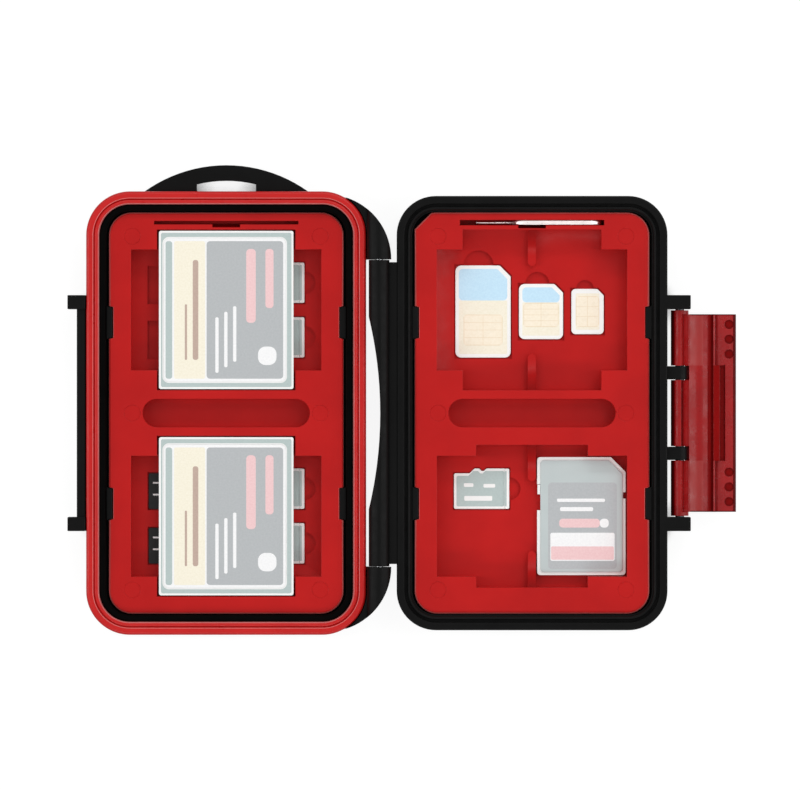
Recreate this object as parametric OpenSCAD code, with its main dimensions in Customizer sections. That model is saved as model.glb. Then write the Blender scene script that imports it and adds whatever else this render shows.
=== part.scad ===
// Hinged hard case for memory cards, lying open with both halves flat on a table. Sizes are in millimetres.
// X runs across the two halves, Y along the hinge and Z up. The origin is the middle of the base half's outer
// face. The lid half lies to the left, and turns over about the hinge to shut. Cards lie in the trays.

/* [Shells] */
// Width of one shell, across the hinge
shell_w = 73.2; // [72:0.1:84]
// Length of one shell, along the hinge
shell_l = 117.4; // [116.5:0.1:130]
// Height of one half, from its outer face to its rim
shell_h = 12; // [11.8:0.1:15]
// Radius of a shell's corners, seen from above
corner_r = 10.6; // [8.5:0.1:11]
// Radius of the edge round a shell's outer face
edge_r = 2.6; // [1.5:0.1:3.2]
// Thickness of a shell's side walls
wall = 2.1; // [1.9:0.05:2.2]
// Thickness of a shell's floor
floor_t = 1.8; // [1.2:0.1:2.1]
// Rounding of the base's rim along its outer edge
rim_round = 0.5; // [0.2:0.1:0.8]
// Gap between the two rims when the case is shut
shut_gap = 0.2; // [0.1:0.05:0.4]
// Distance of the shallow groove on an outer face from the face's edge
panel_in = 9; // [7:0.5:14]
// Width of that groove
panel_groove_w = 1.2; // [0.8:0.1:2]
// Depth of that groove
panel_groove_d = 0.5; // [0.3:0.1:0.7]

/* [Seal] */
// Distance of the seal's middle from a shell's outer face
seal_in = 3.3; // [3.25:0.01:3.4]
// Distance of the seat's inner edge from a shell's outer face
seat_w = 4.25; // [4.2:0.05:4.6]
// Thickness of the seat
seat_t = 1.6; // [1:0.1:2]
// Depth of the base's seat below its rim
base_seat_drop = 2; // [1.6:0.1:2.4]
// Depth of the lid's seat below the top of the lid's rim
lid_seat_drop = 3; // [2.8:0.1:3.4]
// Width of the tongue round the base that meets the seal
tongue_w = 0.85; // [0.7:0.05:1]
// Depth of the tongue's crown below the base's rim
tongue_drop = 0.3; // [0.2:0.05:0.8]
// Width of the rubber seal
gasket_w = 1.5; // [1.2:0.05:1.6]
// Height of the rubber seal above the lid's rim
gasket_proud = 0.1; // [0:0.05:0.15]

/* [Lid rim] */
// Distance by which the rim stands out past the lid's shell
rim_over = 1.25; // [1:0.05:1.4]
// Width of the rim, seen from above
rim_w = 3.6; // [3.5:0.02:3.64]
// Height of the skirt that the rim has outside the wall
skirt_h = 1.4; // [1:0.1:1.8]
// Clearance between the skirt and the wall
skirt_gap = 0.1; // [0.05:0.01:0.15]
// Width of the bead on the wall's top that keys the rim
key_w = 1; // [0.7:0.05:1.1]
// Height of that bead
key_h = 1.2; // [0.8:0.05:1.4]
// Clearance round the bead in the rim's groove
key_gap = 0.08; // [0.05:0.01:0.12]
// Radius of the rim's outer edge
rim_edge_r = 0.9; // [0.5:0.05:1.1]
// Width of the rim's outer band, up to the fine line on it
band_w = 1.9; // [1.7:0.05:2]
// Width and depth of that fine line
line_d = 0.25; // [0.15:0.01:0.35]
// Drop of the inner bead below the outer band
bead_drop = 0.25; // [0.1:0.05:0.4]

/* [Hinge] */
// Distance of the hinge's axis from a shell's outer face
hinge_off = 4.75; // [4.7:0.05:5.4]
// Radius of the base's hinge barrel
barrel_r = 2.8; // [2.6:0.05:2.85]
// Length of the hinge barrel
barrel_l = 82.8; // [78:0.2:84]
// Distance by which the web that carries the barrel stops short of each end
web_short = 0.6; // [0.3:0.1:1.2]
// Height at which that web leaves the wall
web_low = 6.5; // [5:0.1:8]
// Depth of that web's top below the rim
web_drop = 0.3; // [0.2:0.05:0.6]
// Depth of the long scallop in the barrel
scallop_d = 3.1; // [2:0.1:3.4]
// Length of the scallop
scallop_l = 52; // [40:1:56]
// Radius of the lid's hinge ears about the axis
ear_r = 3.3; // [3:0.05:3.35]
// Radius of the ears' curved outline, seen from above
ear_plan_r = 17.6; // [16:0.1:18]
// Height of the underside of the ears
ear_low = 3.5; // [3:0.1:5]
// Clearance along the hinge between an ear and the barrel
ear_gap = 0.15; // [0.1:0.05:0.4]
// Radius of a hinge pin
pin_r = 1; // [0.9:0.05:1.2]
// Length of a hinge pin
pin_l = 15.5; // [13:0.1:16]
// Length of a hinge pin that lies in the barrel
pin_in = 8; // [6:0.1:9]
// Clearance of a pin pressed into its hole, all round
press_gap = 0.02; // [0.01:0.005:0.03]
// Clearance of a pin that turns in its hole, all round
turn_gap = 0.06; // [0.04:0.005:0.08]

/* [Latch] */
// Distance of the latch pin's axis from the base's outer face
latch_off = 3.4; // [3.3:0.05:3.6]
// Depth of the latch pin's axis below the rim
latch_drop = 4.5; // [4.4:0.05:4.8]
// Length of the latch from its axis to its lip's end
latch_l = 15.3; // [14:0.1:16]
// Radius of the latch's barrel
latch_r = 2.4; // [2.3:0.05:2.6]
// Radius of the latch pin
latch_pin_r = 1.2; // [1:0.05:1.3]
// Distance below the axis of the latch's outer face, when it lies open
plate_out = 2.8; // [2.6:0.05:2.85]
// Distance below the axis of the latch's inner face
plate_in = 0.9; // [0.85:0.05:1.1]
// Depth of the hollow along the latch's inner face
hollow_d = 0.7; // [0.4:0.05:0.9]
// Length of that hollow, away from the axis
hollow_l = 4.9; // [4.4:0.1:5]
// Distance of the hook's gripping face from the axis
hook_reach = 8.6; // [8.5:0.05:9]
// Thickness of the hook at the latch's sides
hook_t = 1.1; // [0.9:0.05:1.3]
// Thickness of the hook across the latch's middle
hook_mid_t = 2.4; // [2:0.05:2.6]
// Height of the hook's tip above the axis
hook_tip = 0.8; // [0.6:0.05:0.9]
// Width of the latch's middle part
latch_mid_w = 25.8; // [25:0.1:27]
// Thickness of the finger lip
lip_t = 1.5; // [1.2:0.05:1.7]
// Distance by which the lip bends away from the case
lip_flare = 0.6; // [0.2:0.1:1]
// Width of the groove behind the middle of the hook
groove_w = 1.2; // [0.8:0.1:1.4]
// Depth of the round dimples in the lip
dimple_d = 0.7; // [0.3:0.05:0.9]
// Radius of a dimple
dimple_r = 1.2; // [0.9:0.05:1.4]
// Distance between dimples
dimple_pitch = 4; // [3.2:0.1:4.4]
// Distance of the middle dimple from the latch's middle
dimple_y = 20; // [19:0.1:21]
// Width of a knuckle on the base, along the hinge
knuckle_w = 3.6; // [3:0.1:4]
// Distance of a knuckle's middle from the latch's middle
knuckle_y = 10.9; // [10:0.1:11]
// Radius of a knuckle about the latch pin
knuckle_r = 2.1; // [2:0.05:2.2]
// Clearance between a knuckle and the latch
knuckle_gap = 0.15; // [0.1:0.05:0.3]
// Distance between the inner faces of the two ears that hold the latch pin
latch_ears_w = 56.2; // [55.4:0.1:58]
// Clearance between the latch's plate and such an ear
latch_side_gap = 1.35; // [0.8:0.05:2.5]
// Clearance between the latch's barrel and such an ear
latch_end_gap = 0.3; // [0.2:0.05:0.4]
// Thickness of such an ear
latch_ear_t = 3.8; // [3:0.1:4]
// Distance by which such an ear stands out from the shell
latch_ear_out = 6.3; // [6.2:0.05:6.8]
// Height of the underside of such an ear
latch_ear_low = 2.6; // [2:0.1:4]
// Width of the lid's keeper bar
keeper_w = 1.5; // [1.3:0.05:1.6]
// Height of the keeper bar
keeper_h = 2.6; // [2.2:0.1:2.8]
// Clearance between the shut hook and the keeper bar
keeper_gap = 0.2; // [0.15:0.01:0.25]
// Distance of the shut keeper bar's outer face outside the latch pin's axis
keeper_out = 0.4; // [0.3:0.05:0.45]
// Thickness of the keeper's riser, beside the bar
riser_t = 0.8; // [0.6:0.05:0.85]
// Height of the keeper's web
keeper_web_h = 2.1; // [1.6:0.1:2.2]

/* [Carry loop] */
// Distance by which the carry loop stands out from the lid's shell
loop_out = 8.4; // [7.5:0.1:12]
// Length of the carry loop along the shell
loop_l = 47.7; // [40:0.1:54]
// Width of the loop's band
loop_band = 4.2; // [3.2:0.1:4.6]
// Length of the strap slot
slot_l = 16; // [12:0.1:20]
// Thickness of the loop
loop_t = 4.8; // [4:0.1:4.9]
// Height of the loop's underside
loop_low = 2.6; // [2:0.1:2.7]

/* [Trays] */
// Depth of a tray's top below the rim
tray_drop = 1.8; // [1.6:0.1:2]
// Clearance between a tray's ends and the seat
tray_gap = 0.15; // [0.1:0.01:0.2]
// Gap between a tray's long sides and the seat
tray_side_gap = 0.6; // [0.5:0.05:1]
// Length of the chamfer on one corner of the base's tray
tray_chamfer = 4.6; // [3:0.1:5.5]
// Length of a tray tab, along the hinge
tab_l = 8.9; // [7:0.1:10]
// Distance by which a tab reaches over its tray
tab_over = 1; // [0.8:0.05:1.2]
// Thickness of a tab where it reaches over its tray
tab_t = 1.5; // [1.2:0.05:1.6]
// Distance of a tab's middle from the tray's middle
tab_y = 24.5; // [22:0.1:27]
// Clearance between a tab and its notch
tab_gap = 0.15; // [0.1:0.01:0.3]
// Distance of a card bay's end from the tray's end
bay_in = 4.7; // [4.5:0.05:4.9]
// Clearance between a card and its place, on each side
card_gap = 0.3; // [0.2:0.02:0.35]
// Clearance between a CF card's long sides and its place
cf_side_gap = 0.5; // [0.35:0.05:0.6]
// Depth at which the two large cards lie on their ribs
cf_depth = 3.5; // [3.4:0.05:3.6]
// Depth of the bays' floor
sd_depth = 5.7; // [5.65:0.05:5.8]
// Depth of the small cards' places
chip_depth = 6.8; // [6.75:0.05:6.9]
// Width of the ribs between two SD places
rib_w = 2.2; // [1.9:0.1:2.4]
// Length of those ribs
rib_l = 9.8; // [8:0.1:11]
// Distance of a microSD card's end from the side of its bay
micro_in = 4.6; // [4:0.1:5]
// Distance of a microSD card's middle from its bay's middle, along the hinge
micro_y = 7.4; // [6.8:0.1:8.4]
// Distance of the mini SIM card's middle from the tray's middle, across the hinge
mini_out = 13.2; // [13:0.1:14]
// Distance of the SIM cards' middle below their bay's middle
sim_low = 0.4; // [0:0.1:1]
// Distance between one SIM card and the next
sim_space = 2.2; // [1.8:0.1:2.4]
// Clearance between a SIM card and its place, on each side
sim_gap = 0.3; // [0.15:0.01:0.35]
// Width of the other long place in the base's lower bay
long_place_w = 30.1; // [29.8:0.1:31]
// Length of that place
long_place_l = 38.5; // [38:0.1:39.5]
// Length of the finger slot across a tray's middle
finger_l = 45.2; // [40:0.1:48]
// Width of the finger slot
finger_w = 7.6; // [7:0.1:8]
// Depth of the finger slot
finger_d = 5.2; // [4.4:0.1:6]
// Distance of the tool slit's middle from the tray's upper end
slit_in = 2.8; // [2.6:0.05:2.9]
// Length of the tool slit
slit_l = 39; // [36:0.5:40]
// Depth of the tool slit
slit_d = 6.6; // [6.4:0.1:6.8]
// Width of the lid's empty tool slit
slit_w = 0.9; // [0.7:0.05:1.1]
// Length of the finger notch beside the tool slit
notch_l = 7.4; // [6:0.1:9]
// Width of that notch below the slit
notch_w = 0.8; // [0.5:0.05:1]
// Depth of that notch
notch_d = 3; // [2:0.1:3.4]

/* [Cards] */
// Width of a CF card
cf_w = 36.4; // [36.2:0.1:36.8]
// Length of a CF card
cf_l = 42.8; // [42.6:0.1:43]
// Thickness of a CF card
cf_t = 3.3; // [3.2:0.05:3.4]
// Width of an SD card
sd_w = 24; // [23.8:0.1:24.2]
// Length of an SD card
sd_l = 32; // [31.8:0.1:32.2]
// Thickness of an SD card
sd_t = 2.1; // [2:0.05:2.2]
// Length of the SD card's write-protect switch
sd_switch_l = 2.6; // [2.2:0.1:3]
// Travel of that switch
sd_switch_travel = 4.2; // [3.8:0.1:4.4]
// Length of a microSD card
micro_l = 15; // [14.8:0.1:15.2]
// Width of a microSD card
micro_w = 11; // [10.8:0.1:11.1]
// Thickness of a microSD card
micro_t = 1; // [0.9:0.05:1.02]
// Width of a mini SIM card
mini_w = 15; // [14.8:0.1:15.2]
// Length of a mini SIM card
mini_l = 25; // [24.8:0.1:25.2]
// Width of a micro SIM card
micro_sim_w = 12; // [11.8:0.1:12.2]
// Length of a micro SIM card
micro_sim_l = 15; // [14.8:0.1:15.2]
// Width of a nano SIM card
nano_w = 8.8; // [8.6:0.1:9]
// Length of a nano SIM card
nano_l = 12.3; // [12.1:0.1:12.5]
// Thickness of a SIM card
sim_t = 0.76; // [0.7:0.02:0.84]
// Thickness of a label or a contact plate
label_t = 0.2; // [0.15:0.01:0.3]
// Clearance round a label or a contact plate in its recess
label_gap = 0.1; // [0.05:0.01:0.15]

/* [SIM tool] */
// Thickness of the tool's handle
tool_t = 1.1; // [1:0.05:1.2]
// Length of the tool's handle
tool_l = 24.3; // [22:0.1:26]
// Height of the tool's handle, as it stands on its edge
tool_h = 6.4; // [6:0.1:6.6]
// Radius of the tool's needle
needle_r = 0.4; // [0.3:0.05:0.5]
// Length of the needle, out of the handle
needle_l = 9.9; // [8:0.1:11.5]
// Distance of the handle's end from the slit's end
tool_end_gap = 0.5; // [0.3:0.1:1]
// Clearance between the tool and its slit, on each side
tool_gap = 0.15; // [0.1:0.01:0.25]

/* [Hidden] */
$fn = 96;
// Length by which cutters run past a face, and by which joined shapes overlap
over = 1;
// Hinge axis, as seen from the middle of either half
hinge_reach = shell_w / 2 + hinge_off;
hinge_z = shell_h + shut_gap / 2;
// Middle of the lid half
lid_x = -2 * hinge_reach;
// Latch axis
latch_x = shell_w / 2 + latch_off;
latch_z = shell_h - latch_drop;
latch_w = latch_ears_w - 2 * latch_side_gap;
// Inner faces of the walls and of the seat, as distances from the middle of a corner's arc
wall_x = corner_r - wall;
seat_x = corner_r - seat_w;
seal_x = corner_r - seal_in;
base_seat_z = shell_h - base_seat_drop;
lid_seat_z = shell_h - lid_seat_drop;
// Rim
rim_x = corner_r + rim_over;
skirt_z = lid_seat_z - skirt_h;
key_x = corner_r - wall / 2;
// Trays
tray_w = shell_w - 2 * (seat_w + tray_side_gap);
tray_l = shell_l - 2 * (seat_w + tray_gap);
tray_r = corner_r - seat_w - tray_gap;
tray_z = shell_h - tray_drop;
tab_z = tray_z - tab_t;
bay_z = tray_z - sd_depth;
chip_z = tray_z - chip_depth;
rib_z = tray_z - cf_depth;
cf_place_w = cf_w + 2 * cf_side_gap;
cf_place_l = cf_l + 2 * card_gap;
bay_y = tray_l / 2 - bay_in - cf_place_l / 2;
slit_y = tray_l / 2 - slit_in;
pair_w = rib_w + 2 * (sd_w + 2 * card_gap);
pair_l = sd_l + 2 * card_gap;
sd_place_x = (rib_w + sd_w) / 2 + card_gap;
// Places of the small cards about a bay's middle
micro_x = (pair_w - micro_l) / 2 - micro_in;
// SIM cards: width and length of each, and its middle about the upper bay's middle
mini = [mini_w, mini_l];
micro = [micro_sim_w, micro_sim_l];
nano = [nano_w, nano_l];
mini_at = [-mini_out, -sim_low];
micro_at = [mini_at[0] + (mini_w + micro_sim_w) / 2 + sim_space, -sim_low];
nano_at = [micro_at[0] + (micro_sim_w + nano_w) / 2 + sim_space, -sim_low];
// Shares of a SIM card's width: its cut corner, and the size and place of its thumb scoop
sim_cut_share = 0.2;
scoop_r_share = 0.27;
scoop_x_share = 0.08;
// Largest contact plate, and the least border that a card leaves round it
contact_w = 10.6;
contact_l = 8.4;
contact_side = 1.2;
contact_end = 1.7;
// microSD card: depth of its stepped edge, length of its rear ridge, and drop of the rest below the ridge
micro_step = 1.3;
micro_ridge = 1.3;
micro_thin = 0.3;
// CF card: corners, guide grooves in its ends, contact slots in its left side, and label
cf_r = 0.6;
cf_groove_d = 0.8;
cf_groove_h = 1;
cf_slot_d = 2.5;
cf_slot_h = 0.6;
cf_slot_pitch = 1.28;
cf_slot_end = 4;
cf_label_side = 1.7;
cf_label_end = 2;
cf_label_left = 0.4;
cf_label_r = 1.4;
// SD card: cut corner, notch in its right side, and label
sd_cut = 4;
sd_notch_top = 10.4;
sd_notch_d = 0.7;
sd_notch_l = 1.7;
sd_label_side = 2.7;
sd_label_end = 4.3;
sd_label_right = 0.3;
sd_label_low = 2.6;
sd_label_r = 1;
// Slot and groove for the SD card's switch, and the switch's tongue
switch_gap = 0.1;
sd_slot_l = sd_switch_l + sd_switch_travel + 2 * switch_gap;
sd_slot_top = 7.4;
sd_slot_y = sd_l / 2 - sd_slot_top - sd_slot_l / 2;
sd_slot_d = 1;
sd_switch_h = 1.6;
sd_tongue_d = 0.7;
sd_tongue_t = 0.8;
// Borders of the eye in the SIM tool's handle, and overlap of needle and handle
eye_end = 2.5;
eye_side = 1.5;
needle_root = 1;
// Distance of the latch pin's ends below the outer faces of its ears
pin_recess = 0.1;
// Colours
black_plastic = "#1c1c1c";
red_plastic = "#c02828";
rim_red = "#cf3838";
clear_red = [0.66, 0.15, 0.15, 0.75];
rubber = "#161616";
steel = "#b9bbbd";
dark_steel = "#4a4a4c";
card_grey = "#c4c8ca";
label_grey = "#b4b6ba";
card_white = "#f4f4f2";
gold = "#e8d8a8";

// Flat shapes

// Rectangle with round corners
module rounded(w, l, r) {
    square([w - 2 * r, l], center = true);
    square([w, l - 2 * r], center = true);
    for (x = [-1, 1], y = [-1, 1]) translate([x * (w / 2 - r), y * (l / 2 - r)]) circle(r);
}

// Bar with round ends along X
module stadium(l, w) {
    square([l - w, w], center = true);
    for (x = [-1, 1]) translate([x * (l - w) / 2, 0]) circle(w / 2);
}

// Rectangle with one cut corner, at its upper right
module cut_corner(w, l, cut) {
    polygon([[-w / 2, -l / 2], [w / 2, -l / 2], [w / 2, l / 2 - cut], [w / 2 - cut, l / 2], [-w / 2, l / 2]]);
}

// Outline of a shell, grown by a distance
module shell_outline(grow) {
    rounded(shell_w + 2 * grow, shell_l + 2 * grow, corner_r + grow);
}

// Placing helpers

// Stands a flat shape up so that it is drawn in X and Z, and makes it thick along Y about the given middle
module along_y(thickness, y = 0) {
    translate([0, y + thickness / 2, 0]) rotate([90, 0, 0]) linear_extrude(thickness) children();
}

// Round bar along Y about the given middle
module bar_y(r, l, x, y, z) {
    translate([x, y + l / 2, z]) rotate([90, 0, 0]) cylinder(r = r, h = l);
}

// Draws the children for the upper and the lower side of the case, the lower one mirrored
module both_sides() {
    children();
    mirror([0, 1, 0]) children();
}

// Sweeps a section round a shell. The section's x counts outwards from the middle of a corner's arc.
module ring() {
    for (turn = [0 : 3]) {
        across = turn % 2 == 0 ? shell_w : shell_l;
        along = turn % 2 == 0 ? shell_l : shell_w;
        rotate([0, 0, turn * 90]) translate([across / 2 - corner_r, along / 2 - corner_r, 0]) {
            rotate_extrude(angle = 90) children();
            rotate([90, 0, 0]) linear_extrude(along - 2 * corner_r) children();
        }
    }
}

// Shells

// Section of a shell's floor edge, wall and seat. The wall's top is at top_z and the seat's at seat_z.
module shell_section(top_z, seat_z) {
    difference() {
        union() {
            translate([0, edge_r]) square([corner_r, top_z - edge_r]);
            square([corner_r - edge_r, edge_r]);
            translate([corner_r - edge_r, edge_r]) circle(edge_r);
        }
        translate([-over, floor_t]) square([wall_x + over, top_z]);
    }
    polygon([
        [seat_x, seat_z - seat_t], [wall_x, seat_z - seat_t - wall_x + seat_x],
        [wall_x + wall / 2, seat_z - seat_t - wall_x + seat_x], [wall_x + wall / 2, seat_z], [seat_x, seat_z]
    ]);
}

// Cuts a square edge down to a round one. The child is moved to the corner of the section.
module round_corner(x, z, r) {
    translate([x - r, z - r]) difference() {
        square(r + over);
        circle(r);
    }
}

// Floor between the middles of the corner arcs, which the swept section leaves open
module shell_floor() {
    translate([-shell_w / 2 + corner_r, -shell_l / 2 + corner_r, 0])
        cube([shell_w - 2 * corner_r, shell_l - 2 * corner_r, floor_t]);
}

// Shallow groove that frames a plain panel on the outer face
module panel_groove() {
    translate([0, 0, -over]) linear_extrude(over + panel_groove_d) difference() {
        rounded(shell_w - 2 * panel_in, shell_l - 2 * panel_in, corner_r / 2);
        rounded(
            shell_w - 2 * (panel_in + panel_groove_w), shell_l - 2 * (panel_in + panel_groove_w),
            corner_r / 2 - panel_groove_w
        );
    }
}

// Tab that holds a tray down, on the right side. It grows out of the seat's inner edge.
module tray_tab(grow = 0) {
    seat_edge = shell_w / 2 - seat_w;
    tip = seat_edge - tray_side_gap - tab_over - grow;
    half = tab_l / 2 + grow;
    translate([0, 0, tab_z - grow]) linear_extrude(tab_t + (grow > 0 ? over : 0)) polygon([
        [seat_edge + tray_gap, -half], [seat_edge + tray_gap, half], [seat_edge - tray_side_gap / 2, half],
        [tip, half - tab_over / 2], [tip, -half + tab_over / 2], [seat_edge - tray_side_gap / 2, -half]
    ]);
}

// Root of a tab, a rib down the seat's inner face
module tab_root(seat_z) {
    low = min(seat_z - seat_t, tab_z);
    translate([shell_w / 2 - seat_w - tray_side_gap + tray_gap, -tab_l / 2, low])
        cube([tray_side_gap, tab_l, tray_z - low]);
}

// The four tabs of one shell
module tray_tabs(seat_z) {
    for (side = [0, 1], y = [-tab_y, tab_y]) mirror([side, 0, 0]) translate([0, y, 0]) {
        tray_tab();
        tab_root(seat_z);
    }
}

// Hinge barrel of the base with the web that carries it, scalloped along its middle
module hinge_barrel() {
    scallop_r = (pow(scallop_l / 2, 2) + pow(scallop_d, 2)) / (2 * scallop_d);
    web_end = -shell_w / 2 + wall / 2;
    difference() {
        union() {
            bar_y(barrel_r, barrel_l, -hinge_reach, 0, hinge_z);
            along_y(barrel_l - 2 * web_short) polygon([
                [-hinge_reach, hinge_z - barrel_r], [web_end, web_low],
                [web_end, shell_h - web_drop], [-hinge_reach, shell_h - web_drop]
            ]);
        }
        translate([-hinge_reach - barrel_r + scallop_d - scallop_r, 0, 0])
            cylinder(r = scallop_r, h = 2 * shell_h, $fn = 256);
    }
}

// Ear that stands out beside the latch, drawn on the right side of a half. Both halves have a pair of them.
module latch_ear() {
    chamfer = latch_ear_out / 3;
    right = shell_w / 2 + latch_ear_out;
    along_y(latch_ear_t, (latch_ears_w + latch_ear_t) / 2) polygon([
        [shell_w / 2 - wall / 2, latch_ear_low], [right - chamfer, latch_ear_low],
        [right, latch_ear_low + chamfer], [right, shell_h], [shell_w / 2 - wall / 2, shell_h]
    ]);
}

// Knuckle of the base round the latch pin
module knuckle() {
    bar_y(knuckle_r, knuckle_w, latch_x, knuckle_y, latch_z);
    along_y(knuckle_w, knuckle_y) translate([shell_w / 2 - wall / 2, latch_z - knuckle_r])
        square([latch_off + wall / 2, 2 * knuckle_r]);
}

// Holes for the latch pin, tight in the ears and loose in the knuckles
module latch_pin_holes() {
    both_sides() bar_y(
        latch_pin_r + press_gap, latch_ear_t + 2 * over, latch_x, (latch_ears_w + latch_ear_t) / 2, latch_z
    );
    bar_y(latch_pin_r + turn_gap, latch_ears_w - 2 * over, latch_x, 0, latch_z);
}

module base_shell() {
    color(black_plastic) difference() {
        union() {
            ring() difference() {
                shell_section(shell_h, base_seat_z);
                round_corner(corner_r, shell_h, rim_round);
            }
            shell_floor();
            ring() {
                translate([seal_x - tongue_w / 2, base_seat_z - seat_t / 2])
                    square([tongue_w, base_seat_drop - tongue_drop + seat_t / 2 - tongue_w / 2]);
                translate([seal_x, shell_h - tongue_drop - tongue_w / 2]) circle(tongue_w / 2, $fn = 32);
            }
            tray_tabs(base_seat_z);
            hinge_barrel();
            both_sides() {
                latch_ear();
                knuckle();
            }
        }
        both_sides() bar_y(
            pin_r + turn_gap, 2 * (pin_in + over), -hinge_reach, barrel_l / 2, hinge_z
        );
        latch_pin_holes();
        panel_groove();
    }
}

// Hinge ear of the lid, on the right side of the lid half
module hinge_ear() {
    ear_y = barrel_l / 2 + ear_gap;
    intersection() {
        along_y(ear_plan_r, ear_y + ear_plan_r / 2) {
            translate([hinge_reach, hinge_z]) circle(ear_r);
            polygon([
                [shell_w / 2 - corner_r, ear_low], [hinge_reach, ear_low], [hinge_reach + ear_r, hinge_z],
                [shell_w / 2 - corner_r, hinge_z]
            ]);
        }
        translate([hinge_reach + ear_r - ear_plan_r, ear_y, 0]) cylinder(r = ear_plan_r, h = 2 * shell_h);
    }
}

// Everything that the lid's own inside and its rim take away from the ears and the keeper
module lid_clearance() {
    translate([0, 0, floor_t]) linear_extrude(2 * shell_h) shell_outline(-wall);
    translate([0, 0, skirt_z - 2 * skirt_gap]) linear_extrude(2 * shell_h)
        shell_outline(rim_over + 2 * skirt_gap);
}

// Keeper bar that the latch grips, with its riser and web, on the left side of the lid half
module keeper() {
    bar_right = -latch_x - keeper_out + keeper_w;
    bar_z = 2 * hinge_z - latch_z - hook_reach + keeper_gap;
    bar_top = bar_z + keeper_h;
    web_z = skirt_z - 3 * skirt_gap - keeper_web_h;
    web_right = -shell_w / 2 + wall / 2;
    along_y(latch_ears_w + over) polygon([
        [bar_right - keeper_w, bar_z], [bar_right, bar_z], [bar_right, web_z], [web_right, web_z],
        [web_right, web_z + keeper_web_h], [bar_right + riser_t, web_z + keeper_web_h],
        [bar_right + riser_t, bar_top], [bar_right - keeper_w, bar_top]
    ]);
}

// Carry loop on the upper end of the lid
module carry_loop() {
    loop_r = (pow(loop_l / 2, 2) + pow(loop_out, 2)) / (2 * loop_out);
    middle_y = shell_l / 2 + loop_out - loop_r;
    translate([0, 0, loop_low]) linear_extrude(loop_t) difference() {
        intersection() {
            translate([0, middle_y]) circle(loop_r);
            translate([-loop_l, shell_l / 2 - wall / 2]) square([2 * loop_l, loop_r]);
        }
        intersection() {
            translate([0, middle_y]) circle(loop_r - loop_band);
            translate([-slot_l / 2, shell_l / 2]) square([slot_l, loop_r]);
        }
    }
}

module lid_shell() {
    color(black_plastic) translate([lid_x, 0, 0]) difference() {
        union() {
            ring() {
                shell_section(lid_seat_z, lid_seat_z);
                translate([key_x - key_w / 2, lid_seat_z - over]) square([key_w, over + key_h]);
            }
            shell_floor();
            tray_tabs(lid_seat_z);
            carry_loop();
            difference() {
                union() {
                    both_sides() {
                        hinge_ear();
                        mirror([1, 0, 0]) latch_ear();
                    }
                    keeper();
                }
                lid_clearance();
            }
        }
        both_sides() bar_y(
            pin_r + press_gap, 2 * ear_plan_r, hinge_reach, barrel_l / 2 + ear_plan_r, hinge_z
        );
        panel_groove();
    }
}

// Section of the red rim: a cap on the wall with a skirt outside and a groove for the wall's bead
module rim_section() {
    difference() {
        union() {
            translate([rim_x - rim_w, lid_seat_z]) square([rim_w - band_w, lid_seat_drop - bead_drop]);
            translate([rim_x - band_w, lid_seat_z]) square([band_w, lid_seat_drop]);
            translate([corner_r + skirt_gap, skirt_z])
                square([rim_over - skirt_gap, skirt_h + lid_seat_drop / 2]);
        }
        round_corner(rim_x, shell_h, rim_edge_r);
        mirror([1, 0]) round_corner(rim_w - rim_x, shell_h - bead_drop, rim_edge_r / 2);
        translate([rim_x - band_w - line_d, shell_h - bead_drop - line_d]) square([line_d, over]);
        translate([key_x - key_w / 2 - key_gap, lid_seat_z - over])
            square([key_w + 2 * key_gap, key_h + key_gap + over]);
    }
}

module lid_rim() {
    color(rim_red) translate([lid_x, 0, 0]) ring() rim_section();
}

module lid_gasket() {
    top = shell_h + gasket_proud - gasket_w / 2;
    color(rubber) translate([lid_x, 0, 0]) ring() {
        translate([seal_x - gasket_w / 2, lid_seat_z]) square([gasket_w, top - lid_seat_z]);
        translate([seal_x, top]) circle(gasket_w / 2, $fn = 32);
    }
}

// Trays

// Straight place cut down to a depth below the tray's top, about a bay's middle
module place(w, l, depth) {
    translate([0, 0, tray_z - depth]) linear_extrude(depth + over) square([w, l], center = true);
}

// Cross-shaped bay for one long card or two SD cards, less the two ribs that keep the SD cards apart
module bay(long_w, long_l) {
    difference() {
        union() {
            place(long_w, long_l, sd_depth);
            place(pair_w, pair_l, sd_depth);
        }
        both_sides() translate([0, 0, bay_z - over]) linear_extrude(rib_z - bay_z + over) {
            translate([-rib_w / 2, long_l / 2 - rib_l + rib_w / 2]) square([rib_w, rib_l]);
            translate([0, long_l / 2 - rib_l + rib_w / 2]) circle(rib_w / 2, $fn = 32);
        }
    }
}

// Outline of a microSD card, grown by a distance. Its contacts point left and its stepped edge points up.
module micro_outline(grow) {
    left = -micro_l / 2 - grow;
    right = micro_l / 2 + grow;
    low = -micro_w / 2 - grow;
    high = micro_w / 2 + grow;
    notch = micro_step / 2;
    polygon([
        [left, low], [right, low], [right, high], [2 * notch, high], [notch, high - notch],
        [0, high - notch], [-notch, high], [-3 * notch, high],
        [-3 * notch - micro_step, high - micro_step], [left, high - micro_step]
    ]);
}

// Place for a microSD card with a thumb scoop at its right end
module micro_place() {
    translate([0, 0, chip_z]) linear_extrude(chip_depth) {
        micro_outline(card_gap);
        translate([micro_l / 2, 0]) circle(micro_w / 4 + card_gap);
    }
}

// Place for a SIM card with a thumb scoop at its upper end
module sim_place(size) {
    translate([0, 0, chip_z]) linear_extrude(chip_depth) {
        cut_corner(size[0] + 2 * sim_gap, size[1] + 2 * sim_gap, size[0] * sim_cut_share);
        translate([-size[0] * scoop_x_share, size[1] / 2]) circle(size[0] * scoop_r_share);
    }
}

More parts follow.
